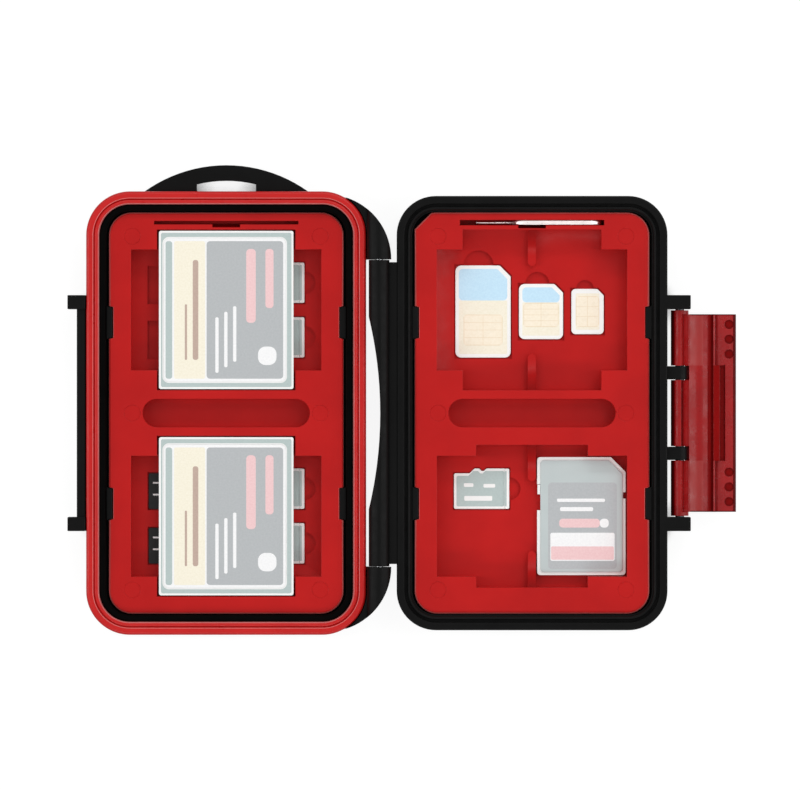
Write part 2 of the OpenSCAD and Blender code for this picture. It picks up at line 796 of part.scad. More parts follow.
// Slit for a SIM tool standing on its edge, with the finger notch below it
module tool_slit(width) {
    translate([-slit_l / 2, slit_y - width / 2, tray_z - slit_d]) cube([slit_l, width, slit_d + over]);
    translate([-notch_l / 2, slit_y - width / 2 - notch_w, tray_z - notch_d])
        cube([notch_l, notch_w + width / 2, notch_d + over]);
}

// What both trays lose: the tab notches and the long finger slot
module common_cuts() {
    for (side = [0, 1], y = [-tab_y, tab_y]) mirror([side, 0, 0]) translate([0, y, 0]) tray_tab(tab_gap);
    translate([0, 0, tray_z - finger_d]) linear_extrude(finger_d + over) stadium(finger_l, finger_w);
}

module base_tray() {
    color(red_plastic) difference() {
        translate([0, 0, floor_t]) linear_extrude(tray_z - floor_t) difference() {
            intersection() {
                union() {
                    rounded(tray_w, tray_l, tray_r);
                    translate([-tray_w / 2, tray_l / 2 - tray_r]) square(tray_r);
                }
                shell_outline(-seat_w - tray_gap);
            }
            translate([-tray_w / 2 - over, tray_l / 2 + over]) polygon([
                [0, 0], [0, -tray_chamfer - 2 * over], [tray_chamfer + 2 * over, 0]
            ]);
        }
        common_cuts();
        translate([0, bay_y, 0]) {
            bay(cf_place_w, cf_place_l);
            translate(mini_at) sim_place(mini);
            translate(micro_at) sim_place(micro);
            translate(nano_at) sim_place(nano);
        }
        translate([0, -bay_y, 0]) {
            bay(long_place_w, long_place_l);
            translate([-micro_x, micro_y, 0]) micro_place();
        }
        tool_slit(tool_t + 2 * tool_gap);
    }
}

module lid_tray() {
    color(red_plastic) translate([lid_x, 0, 0]) difference() {
        translate([0, 0, floor_t]) linear_extrude(tray_z - floor_t) rounded(tray_w, tray_l, tray_r);
        common_cuts();
        for (y = [-bay_y, bay_y]) translate([0, y, 0]) {
            bay(cf_place_w, cf_place_l);
            for (side = [-1, 1], row = [-1, 1]) translate([side * micro_x, row * micro_y, 0]) micro_place();
        }
        tool_slit(slit_w);
    }
}

// Latch and pins

// Section of the latch as it lies open, drawn from its axis. hook is the hook's thickness there.
module latch_section(hook, groove) {
    lip_x = hook_reach + hook_t;
    lip_z = -plate_out - lip_flare;
    hook_root = (plate_in + plate_out) / 2;
    hollow_r = (pow(hollow_l / 2, 2) + pow(hollow_d, 2)) / (2 * hollow_d);
    difference() {
        union() {
            circle(latch_r);
            polygon([
                [0, -latch_r], [latch_r / 2, -plate_out], [lip_x, -plate_out],
                [lip_x, -plate_in], [0, -plate_in]
            ]);
            polygon([
                [lip_x - hook_t, -plate_out], [latch_l - lip_t / 2, lip_z],
                [latch_l - lip_t / 2, lip_z + lip_t], [lip_x - hook_t, -plate_out + lip_t]
            ]);
            translate([latch_l - lip_t / 2, lip_z + lip_t / 2]) circle(lip_t / 2, $fn = 32);
            translate([hook_reach + hook / 2, (hook_tip - hook_root) / 2])
                rounded(hook, hook_tip + hook_root, hook_t * 0.4);
        }
        translate([hook_reach - hook_t - hollow_l / 2, hollow_r - plate_in - hollow_d]) circle(hollow_r);
        if (groove > 0) translate([hook_reach + hook, -plate_out + lip_t / 3]) square([groove, plate_out]);
    }
}

// Latch. Slots let it turn about the base's knuckles, and leave a skin under them on its outer face.
module latch() {
    side_w = (latch_w - latch_mid_w) / 2;
    dimple_x = latch_l - lip_t - dimple_r / 3;
    dimple_z = lip_t - plate_out - lip_flare / 2 - dimple_d;
    slot_x = latch_r + knuckle_gap;
    slot_low = knuckle_r + 2 * knuckle_gap;
    skin_x = latch_r * 0.6;
    end_w = latch_side_gap - latch_end_gap;
    color(clear_red) translate([latch_x, 0, latch_z]) difference() {
        union() {
            along_y(latch_mid_w) latch_section(hook_mid_t, groove_w);
            both_sides() {
                along_y(side_w, (latch_w - side_w) / 2) latch_section(hook_t, 0);
                along_y(end_w, (latch_w + end_w) / 2) circle(latch_r);
            }
        }
        both_sides() {
            along_y(knuckle_w + 2 * knuckle_gap, knuckle_y) polygon([
                [-2 * latch_r, -2 * latch_r], [skin_x, -2 * latch_r], [skin_x, -slot_low],
                [slot_x, -slot_low], [slot_x, 2 * latch_r], [-2 * latch_r, 2 * latch_r]
            ]);
            for (row = [-1 : 1]) translate([dimple_x, dimple_y + row * dimple_pitch, dimple_z])
                cylinder(r = dimple_r, h = dimple_d + over, $fn = 32);
        }
        bar_y(latch_pin_r + turn_gap, latch_ears_w + 2 * over, 0, 0, 0);
    }
}

module latch_pin() {
    color(dark_steel)
        bar_y(latch_pin_r, latch_ears_w + 2 * (latch_ear_t - pin_recess), latch_x, 0, latch_z);
}

module hinge_pin() {
    color(steel) bar_y(pin_r, pin_l, -hinge_reach, barrel_l / 2 - pin_in + pin_l / 2, hinge_z);
}

module hinge_pin_upper() {
    hinge_pin();
}

module hinge_pin_lower() {
    mirror([0, 1, 0]) hinge_pin();
}

// Cards

// CF card with its contact slots on the left, guide grooves along both ends and a recess for its label
module cf_card() {
    color(card_grey) difference() {
        translate([0, 0, rib_z]) linear_extrude(cf_t) rounded(cf_w, cf_l, cf_r);
        both_sides() translate([0, cf_l / 2, rib_z + cf_t / 2])
            cube([cf_w + over, 2 * cf_groove_d, cf_groove_h], center = true);
        for (row = [-1, 1]) translate([-cf_w / 2, 0, rib_z + (cf_t + row * cf_slot_pitch) / 2])
            cube([2 * cf_slot_d, cf_l - 2 * cf_slot_end, cf_slot_h], center = true);
        translate([0, 0, rib_z + cf_t - label_t]) linear_extrude(over)
            cf_label_outline(label_gap);
    }
}

module cf_label_outline(grow) {
    translate([-cf_label_left, 0])
        rounded(cf_w - 2 * (cf_label_side - grow), cf_l - 2 * (cf_label_end - grow), cf_label_r + grow);
}

module cf_label() {
    color(label_grey) translate([0, 0, rib_z + cf_t - label_t]) linear_extrude(label_t) cf_label_outline(0);
}

module cf_card_upper() {
    translate([lid_x, bay_y, 0]) cf_card();
}

module cf_label_upper() {
    translate([lid_x, bay_y, 0]) cf_label();
}

module cf_card_lower() {
    translate([lid_x, -bay_y, 0]) cf_card();
}

module cf_label_lower() {
    translate([lid_x, -bay_y, 0]) cf_label();
}

module sd_label_outline(grow) {
    translate([sd_label_right, -sd_label_low])
        rounded(sd_w - 2 * (sd_label_side - grow), sd_l - 2 * (sd_label_end - grow), sd_label_r + grow);
}

// SD card with the slot for its switch on the left and a groove behind it for the switch's tongue
module sd_card() {
    color(card_grey) translate([sd_place_x, -bay_y, bay_z]) difference() {
        linear_extrude(sd_t) difference() {
            cut_corner(sd_w, sd_l, sd_cut);
            translate([-sd_w / 2, sd_slot_y]) square([2 * sd_slot_d, sd_slot_l], center = true);
            translate([sd_w / 2, sd_l / 2 - sd_notch_top])
                square([2 * sd_notch_d, sd_notch_l], center = true);
        }
        translate([-sd_w / 2 + sd_slot_d, sd_slot_y, sd_t / 2])
            cube([2 * (sd_tongue_d + switch_gap), sd_slot_l, sd_tongue_t + 2 * switch_gap], center = true);
        translate([0, 0, sd_t - label_t]) linear_extrude(over) sd_label_outline(label_gap);
    }
}

module sd_label() {
    color(label_grey) translate([sd_place_x, -bay_y, bay_z + sd_t - label_t])
        linear_extrude(label_t) sd_label_outline(0);
}

// Write-protect switch of the SD card, at the upper end of its slot
module sd_switch() {
    reach = sd_slot_d - switch_gap;
    switch_y = sd_slot_y + sd_slot_l / 2 - sd_switch_l / 2 - switch_gap;
    color(card_white) translate([sd_place_x - sd_w / 2, -bay_y + switch_y, bay_z + sd_t / 2]) {
        translate([switch_gap, -sd_switch_l / 2, -sd_switch_h / 2])
            cube([reach - switch_gap, sd_switch_l, sd_switch_h]);
        translate([reach / 2, -sd_switch_l / 2, -sd_tongue_t / 2])
            cube([sd_slot_d + sd_tongue_d - reach / 2, sd_switch_l, sd_tongue_t]);
    }
}

// microSD card with the thicker ridge at its rear end
module microsd() {
    color(card_grey) difference() {
        linear_extrude(micro_t) micro_outline(0);
        translate([-micro_l, -micro_w, micro_t - micro_thin])
            cube([1.5 * micro_l - micro_ridge, 2 * micro_w, over]);
    }
}

module microsd_base() {
    translate([-micro_x, -bay_y + micro_y, chip_z]) microsd();
}

// One of the lid's microSD cards, by the bay and the sides of the bay that it lies on
module lid_microsd(bay_side, side, row) {
    translate([lid_x + side * micro_x, bay_side * bay_y + row * micro_y, chip_z]) microsd();
}

module microsd_1() {
    lid_microsd(1, 1, 1);
}

module microsd_2() {
    lid_microsd(1, 1, -1);
}

module microsd_3() {
    lid_microsd(-1, 1, 1);
}

module microsd_4() {
    lid_microsd(-1, 1, -1);
}

module microsd_5() {
    lid_microsd(-1, -1, 1);
}

module microsd_6() {
    lid_microsd(-1, -1, -1);
}

// SIM card with a recess for its contact plate, standing at its place in the upper bay
module sim(size, at) {
    color(card_white) translate([at[0], bay_y + at[1], chip_z]) difference() {
        linear_extrude(sim_t) cut_corner(size[0], size[1], size[0] * sim_cut_share);
        translate([0, 0, sim_t - label_t]) linear_extrude(over) contact_outline(size, label_gap);
    }
}

// Contact plate of a SIM card, in the lower part of the card
module contact_outline(size, grow) {
    plate = [min(size[0] - 2 * contact_side, contact_w), min(size[1] - 2 * contact_end, contact_l)];
    translate([0, (min(size[1], micro_sim_l) - size[1]) / 2])
        square([plate[0] + 2 * grow, plate[1] + 2 * grow], center = true);
}

module sim_contacts(size, at) {
    color(gold) translate([at[0], bay_y + at[1], chip_z + sim_t - label_t])
        linear_extrude(label_t) contact_outline(size, 0);
}

module mini_sim() {
    sim(mini, mini_at);
}

module mini_sim_contacts() {
    sim_contacts(mini, mini_at);
}

module micro_sim() {
    sim(micro, micro_at);
}

module micro_sim_contacts() {
    sim_contacts(micro, micro_at);
}

module nano_sim() {
    sim(nano, nano_at);
}

module nano_sim_contacts() {
    sim_contacts(nano, nano_at);
}

// Flat handle with an oblong eye, and a needle at its left end, standing in the slit of the base's tray
module sim_tool() {
    handle_x = (slit_l - tool_l) / 2 - tool_end_gap;
    middle_z = tray_z - slit_d + tool_h / 2;
    color(steel) {
        along_y(tool_t, slit_y) translate([handle_x, middle_z]) difference() {
            stadium(tool_l, tool_h);
            stadium(tool_l - 2 * eye_end, tool_h - 2 * eye_side);
        }
        translate([handle_x - tool_l / 2 - needle_l, slit_y, middle_z]) rotate([0, 90, 0])
            cylinder(r = needle_r, h = needle_l + needle_root, $fn = 32);
    }
}

base_shell();
base_tray();
lid_shell();
lid_rim();
lid_gasket();
lid_tray();
latch();
latch_pin();
hinge_pin_upper();
hinge_pin_lower();
cf_card_upper();
cf_label_upper();
cf_card_lower();
cf_label_lower();
sd_card();
sd_label();
sd_switch();
microsd_base();
microsd_1();
microsd_2();
microsd_3();
microsd_4();
microsd_5();
microsd_6();
mini_sim();
mini_sim_contacts();
micro_sim();
micro_sim_contacts();
nano_sim();
nano_sim_contacts();
sim_tool();
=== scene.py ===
"""Dresses an open memory card case: black shells, red card trays, a sealed red rim and a clear red latch.

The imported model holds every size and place. This script gives each piece its edges, its finish and the small
marks of its making, lays it on a pale floor under soft light and looks at it from straight above.
"""

import logging
import math
from contextlib import contextmanager
from dataclasses import dataclass
from enum import Enum
from typing import Callable, Iterable, Iterator, Optional, Sequence, Union

import bmesh
import bpy
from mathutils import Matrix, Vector


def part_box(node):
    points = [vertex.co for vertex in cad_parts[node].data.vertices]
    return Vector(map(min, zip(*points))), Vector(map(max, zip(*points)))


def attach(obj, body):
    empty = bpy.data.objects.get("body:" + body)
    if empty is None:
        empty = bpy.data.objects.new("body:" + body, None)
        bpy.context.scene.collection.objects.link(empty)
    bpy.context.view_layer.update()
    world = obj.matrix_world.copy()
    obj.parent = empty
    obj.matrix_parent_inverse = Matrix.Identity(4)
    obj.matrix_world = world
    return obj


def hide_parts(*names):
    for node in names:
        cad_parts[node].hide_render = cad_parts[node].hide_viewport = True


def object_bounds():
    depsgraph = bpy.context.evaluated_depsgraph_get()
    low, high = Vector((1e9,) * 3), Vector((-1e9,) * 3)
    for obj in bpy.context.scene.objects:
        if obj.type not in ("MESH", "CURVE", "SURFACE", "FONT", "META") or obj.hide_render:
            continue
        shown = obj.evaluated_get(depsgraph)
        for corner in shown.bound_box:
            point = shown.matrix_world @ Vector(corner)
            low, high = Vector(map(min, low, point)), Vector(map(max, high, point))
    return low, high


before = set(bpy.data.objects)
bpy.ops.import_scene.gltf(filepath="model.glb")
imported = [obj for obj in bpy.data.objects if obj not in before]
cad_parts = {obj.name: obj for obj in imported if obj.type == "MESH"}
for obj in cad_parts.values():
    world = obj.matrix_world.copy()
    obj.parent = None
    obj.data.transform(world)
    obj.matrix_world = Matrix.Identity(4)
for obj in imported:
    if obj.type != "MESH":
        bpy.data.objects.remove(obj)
CAD_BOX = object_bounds()

log = logging.getLogger("card_case")
logging.basicConfig(level=logging.INFO, format="%(name)s: %(message)s")

MM = 0.001
SAME = 0.01  # Places that lie closer together than this many millimetres count as one
Point = Sequence[float]
Corner = tuple[float, float, float]
Value = Union[float, str, Sequence[float], bpy.types.NodeSocket]


def linear(colour: str) -> tuple[float, float, float, float]:
    """Turns an sRGB hex colour into the linear values that Blender uses.

    Args:
        colour: Colour such as "#c02828".

    Returns:
        Red, green, blue and a full alpha.
    """
    channels = [int(colour[i:i + 2], 16) / 255 for i in (1, 3, 5)]
    red, green, blue = (c / 12.92 if c <= 0.04045 else ((c + 0.055) / 1.055) ** 2.4 for c in channels)
    return (red, green, blue, 1.0)


def add_node(
    tree: bpy.types.NodeTree,
    kind: str,
    settings: Optional[dict[str, object]] = None,
    inputs: Optional[dict[Union[str, int], Value]] = None,
) -> bpy.types.Node:
    """Adds a node to a tree.

    Args:
        tree: Tree of a material, of the world or of a Geometry Nodes modifier.
        kind: Blender's name of the node's type.
        settings: The node's own options by name.
        inputs: A value, or a socket to link from, by the input's name or number.

    Returns:
        The new node.
    """
    node = tree.nodes.new(kind)
    for key, value in (settings or {}).items():
        setattr(node, key, value)
    for key, value in (inputs or {}).items():
        if isinstance(value, bpy.types.NodeSocket):
            tree.links.new(value, node.inputs[key])
        else:
            node.inputs[key].default_value = value
    return node


# Finishes

def new_material(name: str) -> tuple[bpy.types.Material, bpy.types.NodeTree]:
    """Makes an empty node material.

    Args:
        name: The material's name.

    Returns:
        The material and its tree.
    """
    material = bpy.data.materials.new(name)
    material.use_nodes = True
    material.node_tree.nodes.clear()
    return material, material.node_tree


class Along(Enum):
    """Direction that drawn lines run in, as the share of their frequency along X, Y and Z."""

    X = (0.02, 1.0, 1.0)
    Y = (1.0, 0.02, 1.0)


@dataclass(frozen=True)
class Pattern:
    """Noise on Object coordinates: the size of one blotch, the number of its finer layers and its stretch."""

    size_mm: float
    detail: float = 2.0
    stretch: Corner = (1.0, 1.0, 1.0)
    middle: Point = (0.3, 0.7)

    def add(self, tree: bpy.types.NodeTree) -> bpy.types.NodeSocket:
        """Adds the noise to a material.

        Args:
            tree: The material's tree.

        Returns:
            The noise's value, which runs from 0 to 1 about 0.5.
        """
        place = add_node(tree, "ShaderNodeTexCoord")
        turned = add_node(tree, "ShaderNodeMapping", inputs={
            "Vector": place.outputs["Object"], "Scale": self.stretch,
        })
        found = add_node(tree, "ShaderNodeTexNoise", inputs={
            "Vector": turned.outputs["Vector"], "Scale": 1 / (self.size_mm * MM), "Detail": self.detail,
        })
        return found.outputs["Fac"]

    def spread(self, tree: bpy.types.NodeTree, low: float, high: float) -> bpy.types.NodeSocket:
        """Adds the noise with its middle part spread over a range.

        Args:
            tree: The material's tree.
            low: Low end of the range.
            high: High end of the range.

        Returns:
            The spread value.
        """
        found = add_node(tree, "ShaderNodeMapRange", inputs={
            "Value": self.add(tree), "From Min": self.middle[0], "From Max": self.middle[1],
            "To Min": low, "To Max": high,
        })
        return found.outputs["Result"]


@dataclass(frozen=True)
class Finish:
    """What every finish has: two close colours that a pattern mixes, and a roughness that wanders."""

    name: str
    colour: str
    deep: str
    roughness: float

    def surface(
        self, tint: Pattern, gloss: Pattern, rough: Point, relief: Pattern, depth_mm: float,
        values: dict[str, float], deepest: float = 1.0,
    ) -> bpy.types.Material:
        """Builds a material.

        Args:
            tint: Pattern that mixes the two colours.
            gloss: Pattern of the roughness.
            rough: Least and greatest roughness.
            relief: Pattern of the fine relief.
            depth_mm: Depth of the relief.
            values: Further inputs of the shader by name.
            deepest: Greatest share of the deep colour.

        Returns:
            The material.
        """
        material, tree = new_material(self.name)
        mix = add_node(tree, "ShaderNodeMix", {"data_type": "RGBA"}, {
            0: tint.spread(tree, 0.0, deepest), 6: linear(self.colour), 7: linear(self.deep),
        })
        bump = add_node(tree, "ShaderNodeBump", inputs={
            "Height": relief.add(tree), "Distance": depth_mm * MM, "Strength": 1.0,
        })
        shader = add_node(tree, "ShaderNodeBsdfPrincipled", inputs={
            "Base Color": mix.outputs[2], "Roughness": gloss.spread(tree, *rough),
            "Normal": bump.outputs["Normal"], **values,
        })
        add_node(tree, "ShaderNodeOutputMaterial", inputs={"Surface": shader.outputs["BSDF"]})
        return material


@dataclass(frozen=True)
class MouldedPlastic(Finish):
    """Injection-moulded plastic or rubber: blotches from its flow, and its mould's grain, drawn coarser."""

    specular: float = 0.5
    ior: float = 1.5
    grain_mm: float = 0.3
    grain_depth_mm: float = 0.01
    flow_mm: float = 14.0
    gloss_mm: float = 2.5
    gloss_spread: float = 0.06

    def make(self) -> bpy.types.Material:
        """Builds the material."""
        return self.surface(
            Pattern(self.flow_mm, 3.0), Pattern(self.gloss_mm),
            (self.roughness - self.gloss_spread, self.roughness + self.gloss_spread),
            Pattern(self.grain_mm, 1.0), self.grain_depth_mm,
            {"IOR": self.ior, "Specular IOR Level": self.specular},
        )


@dataclass(frozen=True)
class ClearPlastic(Finish):
    """Tinted see-through plastic from a polished mould. It shows what lies behind it, dimmed by its tint."""

    see_through: float
    specular: float
    ior: float = 1.585
    flow_mm: float = 9.0
    gloss_mm: float = 3.0
    ripple_mm: float = 6.0
    ripple_depth_mm: float = 0.02

    def make(self) -> bpy.types.Material:
        """Builds the material."""
        return self.surface(
            Pattern(self.flow_mm), Pattern(self.gloss_mm), (self.roughness * 0.7, self.roughness * 1.3),
            Pattern(self.ripple_mm, 1.0), self.ripple_depth_mm, {
                "IOR": self.ior, "Transmission Weight": self.see_through, "Specular IOR Level": self.specular,
            },
        )


@dataclass(frozen=True)
class DrawnMetal(Finish):
    """Drawn or brushed metal. Its fine lines are drawn coarser, and stretch highlights across them."""

    along: Along
    line_mm: float = 0.12
    line_depth_mm: float = 0.004
    gloss_mm: float = 1.2

    def make(self) -> bpy.types.Material:
        """Builds the material."""
        lines = Pattern(self.line_mm, stretch=self.along.value)
        return self.surface(
            lines, Pattern(self.gloss_mm), (self.roughness * 0.8, self.roughness * 1.25),
            lines, self.line_depth_mm, {"Metallic": 1.0},
        )


@dataclass(frozen=True)
class PrintedInk(Finish):
    """Ink on coated paper or card plastic. Its dot screen gives a faint mottle, drawn coarser than it is."""

    roughness: float = 0.42
    specular: float = 0.35
    dot_mm: float = 0.5
    dot_depth_mm: float = 0.003
    gloss_mm: float = 4.0
    gloss_spread: float = 0.05

    def make(self) -> bpy.types.Material:
        """Builds the material."""
        dots = Pattern(self.dot_mm, 1.0)
        return self.surface(
            dots, Pattern(self.gloss_mm),
            (self.roughness - self.gloss_spread, self.roughness + self.gloss_spread),
            dots, self.dot_depth_mm, {"Specular IOR Level": self.specular}, 0.7,
        )


class Palette:
    """Every finish of the case and of what lies in it, made once."""

    def __init__(self) -> None:
        """Makes the materials."""
        # Black ABS from a spark-eroded mould: satin, dark, with soft grey highlights on its edges
        self.shell = MouldedPlastic("abs_moulded_black", "#0b0b0b", "#070707", 0.4, 0.07, 1.53).make()
        # Red ABS from a fine-textured mould: even, satin, a little deeper where the flow slowed
        self.tray = MouldedPlastic(
            "abs_moulded_red", "#ba1413", "#ae1010", 0.42, 0.16, 1.53, 0.35, 0.008
        ).make()
        # The same red, made paler on the tray's rounded outer edge as a painted highlight
        self.tray_painted_highlight = MouldedPlastic(
            "abs_moulded_red_edge", "#d06260", "#c65856", 0.34, 0.4, 1.53, 0.35, 0.008
        ).make()
        # Red polypropylene rim from a smoother mould: a shade lighter, with sharper highlights
        self.rim = MouldedPlastic("polypropylene_moulded_red", "#c41d1c", "#ba1817", 0.32, 0.24, 1.49).make()
        # The same red, made paler on the rim's inner bead as a painted highlight
        self.rim_painted_highlight = MouldedPlastic(
            "polypropylene_moulded_red_edge", "#dc7a78", "#d4706e", 0.28, 0.4, 1.49
        ).make()
        # Moulded rubber seal: dull black
        self.seal = MouldedPlastic("rubber_moulded_black", "#040404", "#020202", 0.6, 0.02, 1.52, 0.2).make()
        # Clear polycarbonate with a deep red tint, glossy; three copies in other reds hold painted shade and a
        # painted highlight
        clear = "polycarbonate_clear_red"
        self.latch = ClearPlastic(clear, "#a81618", "#981214", 0.3, 0.15, 0.1).make()
        # Darker red: painted shade beside the hook, on the middle's hook and groove, and in the dimples
        self.latch_thick = ClearPlastic(clear + "_thick", "#860909", "#780707", 0.3, 0.03, 0.03).make()
        # Darkest red: painted shade on the steep faces, the outline, the nose and a line on the barrel
        self.latch_painted_edge_shade = ClearPlastic(clear + "_edge", "#5e0607", "#520506", 0.3, 0.03, 0.03).make()
        # Paler red: a painted highlight on the hollow of the side parts
        self.latch_thin = ClearPlastic(clear + "_thin", "#b02e2c", "#a22725", 0.36, 0.2, 0.22).make()
        # Drawn stainless steel: pale, with lines along the wire
        self.pin = DrawnMetal("stainless_steel_drawn", "#b9bbbd", "#a4a6a9", 0.28, Along.Y).make()
        # Oiled dark steel pin
        self.dark_pin = DrawnMetal("steel_blackened_drawn", "#4a4a4c", "#3a3a3c", 0.36, Along.Y).make()
        # Blanked and tumbled stainless sheet; its colour is paler and pinker than steel, a painted reflection
        # of the bright light and the red trays
        self.tool = DrawnMetal("stainless_steel_tumbled", "#efe6e4", "#ddd3d1", 0.32, Along.X).make()
        # Pale and black card plastics, matt from their moulds
        self.card_grey = MouldedPlastic("card_plastic_pale_grey", "#c3cbcb", "#bac3c3", 0.5, 0.35).make()
        self.card_white = MouldedPlastic("card_plastic_white", "#f6f6f4", "#efefee", 0.46, 0.35).make()
        self.card_black = MouldedPlastic("card_plastic_black", "#161617", "#101011", 0.44, 0.25).make()
        self.sim_plastic = MouldedPlastic("sim_plastic_white", "#f8f8f6", "#f2f2f0", 0.4, 0.35).make()
        # Printed inks
        self.ink_white = PrintedInk("ink_white", "#f7f7f7", "#eeeeef").make()
        self.ink_grey = PrintedInk("ink_grey", "#b7babc", "#aeb2b4").make()
        self.ink_cool = PrintedInk("ink_cool_grey", "#b7c5c3", "#aebdbb").make()
        self.ink_cream = PrintedInk("ink_cream", "#f7f1df", "#efe8d2").make()
        self.ink_pink = PrintedInk("ink_pink", "#f0cccd", "#e9bfc1").make()
        self.ink_taupe = PrintedInk("ink_taupe", "#c2ab9f", "#b79f92").make()
        self.ink_sky = PrintedInk("ink_pale_blue", "#c8e8fa", "#bcdff4").make()
        # Gold-plated contacts, drawn in a pale cream, and the resin between them
        self.contact = PrintedInk("gold_contact_pale", "#faf0dc", "#f4e8d0", 0.3).make()
        self.contact_gap = PrintedInk("contact_gap_resin", "#f0e1c6", "#e9d8ba", 0.5).make()


# Mesh helpers

@dataclass(frozen=True)
class Box:
    """Lowest and highest corner of a node, in millimetres."""

    low: Vector
    high: Vector

    @property
    def size(self) -> Vector:
        """Its size along X, Y and Z."""
        return self.high - self.low

    @property
    def middle(self) -> Vector:
        """Its middle."""
        return (self.low + self.high) / 2

    def top(self, up: float = 0.0) -> Corner:
        """Middle of its upper face, or a point so far above it."""
        return (self.middle.x, self.middle.y, self.high.z + up)


def box_mm(node: str) -> Box:
    """Box of a node."""
    low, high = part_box(node)
    return Box(low / MM, high / MM)


def metres(place: Sequence[float]) -> tuple[float, ...]:
    """Turns a place in millimetres into metres."""
    return tuple(part * MM for part in place)


def new_object(name: str, data: bpy.types.ID) -> bpy.types.Object:
    """Links a mesh, a curve, a lamp or a camera to the scene.

    Args:
        name: Name of the new object.
        data: What the object holds.

    Returns:
        The object, at the origin.
    """
    made = bpy.data.objects.new(name, data)
    bpy.context.scene.collection.objects.link(made)
    return made


@contextmanager
def edited(mesh: bpy.types.Mesh) -> Iterator[bmesh.types.BMesh]:
    """Opens a mesh for changes, and writes them back to it at the end.

    Args:
        mesh: Mesh to change.

    Yields:
        The open mesh.
    """
    work = bmesh.new()
    work.from_mesh(mesh)
    yield work
    work.to_mesh(mesh)
    work.free()


def baked(piece: bpy.types.Object) -> bpy.types.Object:
    """Applies a piece's modifiers to its mesh and removes them.

    Args:
        piece: Piece with its modifiers.

    Returns:
        The same piece with plain geometry.
    """
    graph = bpy.context.evaluated_depsgraph_get()
    mesh = bpy.data.meshes.new_from_object(piece.evaluated_get(graph), depsgraph=graph)
    piece.modifiers.clear()
    old, piece.data = piece.data, mesh
    mesh.name = piece.name
    bpy.data.meshes.remove(old)
    return piece


def clean_copy(node: str, name: str, weld_mm: float = 0.002, flat_deg: float = 0.25) -> bpy.types.Object:
    """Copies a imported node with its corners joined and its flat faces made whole.

    Args:
        node: The node's name.
        name: Name of the copy.
        weld_mm: Corners that lie closer than this are joined.
        flat_deg: Faces that turn less than this become one.

    Returns:
        The copy, which isn't yet a piece.
    """
    piece = new_object(name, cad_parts[node].data.copy())
    piece.data.materials.clear()
    with edited(piece.data) as work:
        bmesh.ops.remove_doubles(work, verts=work.verts, dist=weld_mm * MM)
        bmesh.ops.dissolve_limit(
            work, angle_limit=math.radians(flat_deg), use_dissolve_boundaries=False,
            verts=work.verts, edges=work.edges,
        )
        for face in work.faces:
            face.smooth = False
    return piece


EdgeRule = Callable[[bmesh.types.BMEdge], float]
EDGE_LAYER = "bevel_weight_edge"


def mark_edges(piece: bpy.types.Object, rule: EdgeRule, sharp_deg: float = 28.0) -> None:
    """Writes how far each convex sharp edge is rounded.

    Args:
        piece: Piece to mark.
        rule: Gives an edge's rounding in millimetres, 0 for none.
        sharp_deg: Least turn between two faces that counts as an edge.
    """
    with edited(piece.data) as work:
        layer = work.edges.layers.float.get(EDGE_LAYER) or work.edges.layers.float.new(EDGE_LAYER)
        for edge in work.edges:
            convex = len(edge.link_faces) == 2 and edge.is_convex
            sharp = convex and edge.calc_face_angle(0) > math.radians(sharp_deg)
            edge[layer] = min(rule(edge), 1.0) if sharp else 0.0


def round_edges(piece: bpy.types.Object, segments: int = 2) -> bpy.types.Object:
    """Rounds the marked edges of a piece, whose weights are millimetres, and smooths its shading.

    Args:
        piece: Piece with its edges marked.
        segments: Number of faces across a rounded edge.

    Returns:
        The same piece with plain geometry.
    """
    bevel = piece.modifiers.new("round", "BEVEL")
    bevel.limit_method = "WEIGHT"
    bevel.width = MM
    bevel.segments = segments
    bevel.use_clamp_overlap = False
    bevel.miter_outer = "MITER_ARC"
    return shaded(baked(piece))


def shaded(piece: bpy.types.Object, sharp_deg: float = 35.0) -> bpy.types.Object:
    """Shades a piece smooth but for its sharp edges, and keeps its large faces flat.

    Args:
        piece: Piece to shade.
        sharp_deg: Least turn between two faces that stays sharp.

    Returns:
        The same piece.
    """
    piece.data.polygons.foreach_set("use_smooth", [True] * len(piece.data.polygons))
    piece.data.set_sharp_from_angle(angle=math.radians(sharp_deg))
    weighted = piece.modifiers.new("weigh", "WEIGHTED_NORMAL")
    weighted.keep_sharp = True
    return baked(piece)


def repaint(
    piece: bpy.types.Object, material: bpy.types.Material, chosen: Callable[[bpy.types.MeshPolygon], bool]
) -> None:
    """Adds a material to a piece and gives it to the chosen faces.

    Args:
        piece: Piece with its other materials.
        material: Material to add.
        chosen: Tells whether a face gets it.
    """
    number = len(piece.data.materials)
    piece.data.materials.append(material)
    for face in piece.data.polygons:
        if chosen(face):
            face.material_index = number


def finished(
    piece: bpy.types.Object, body: str, nodes: Iterable[str],
    material: Optional[bpy.types.Material] = None,
) -> None:
    """Gives a piece its place among the bodies, and its material unless it has its own, and reports it.

    Args:
        piece: Piece with its final mesh.
        body: Body that it rides on.
        nodes: CAD nodes that it stands for.
        material: Its material if it has only one.
    """
    if material:
        piece.data.materials.append(material)
    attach(piece, body)
    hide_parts(*nodes)
    log.info("%s: %d faces on %s", piece.name, len(piece.data.polygons), body)


def rounded_copy(
    node: str, made: str, rule: EdgeRule, body: str, material: bpy.types.Material
) -> None:
    """Makes a piece that has its node's shape with rounded edges.

    Args:
        node: The node's name.
        made: How the real piece is made, which ends the piece's name.
        rule: Gives an edge's rounding in millimetres.
        body: Body that the piece rides on.
        material: The piece's material.
    """
    piece = clean_copy(node, f"{node}_{made}")
    mark_edges(piece, rule)
    finished(round_edges(piece), body, [node], material)


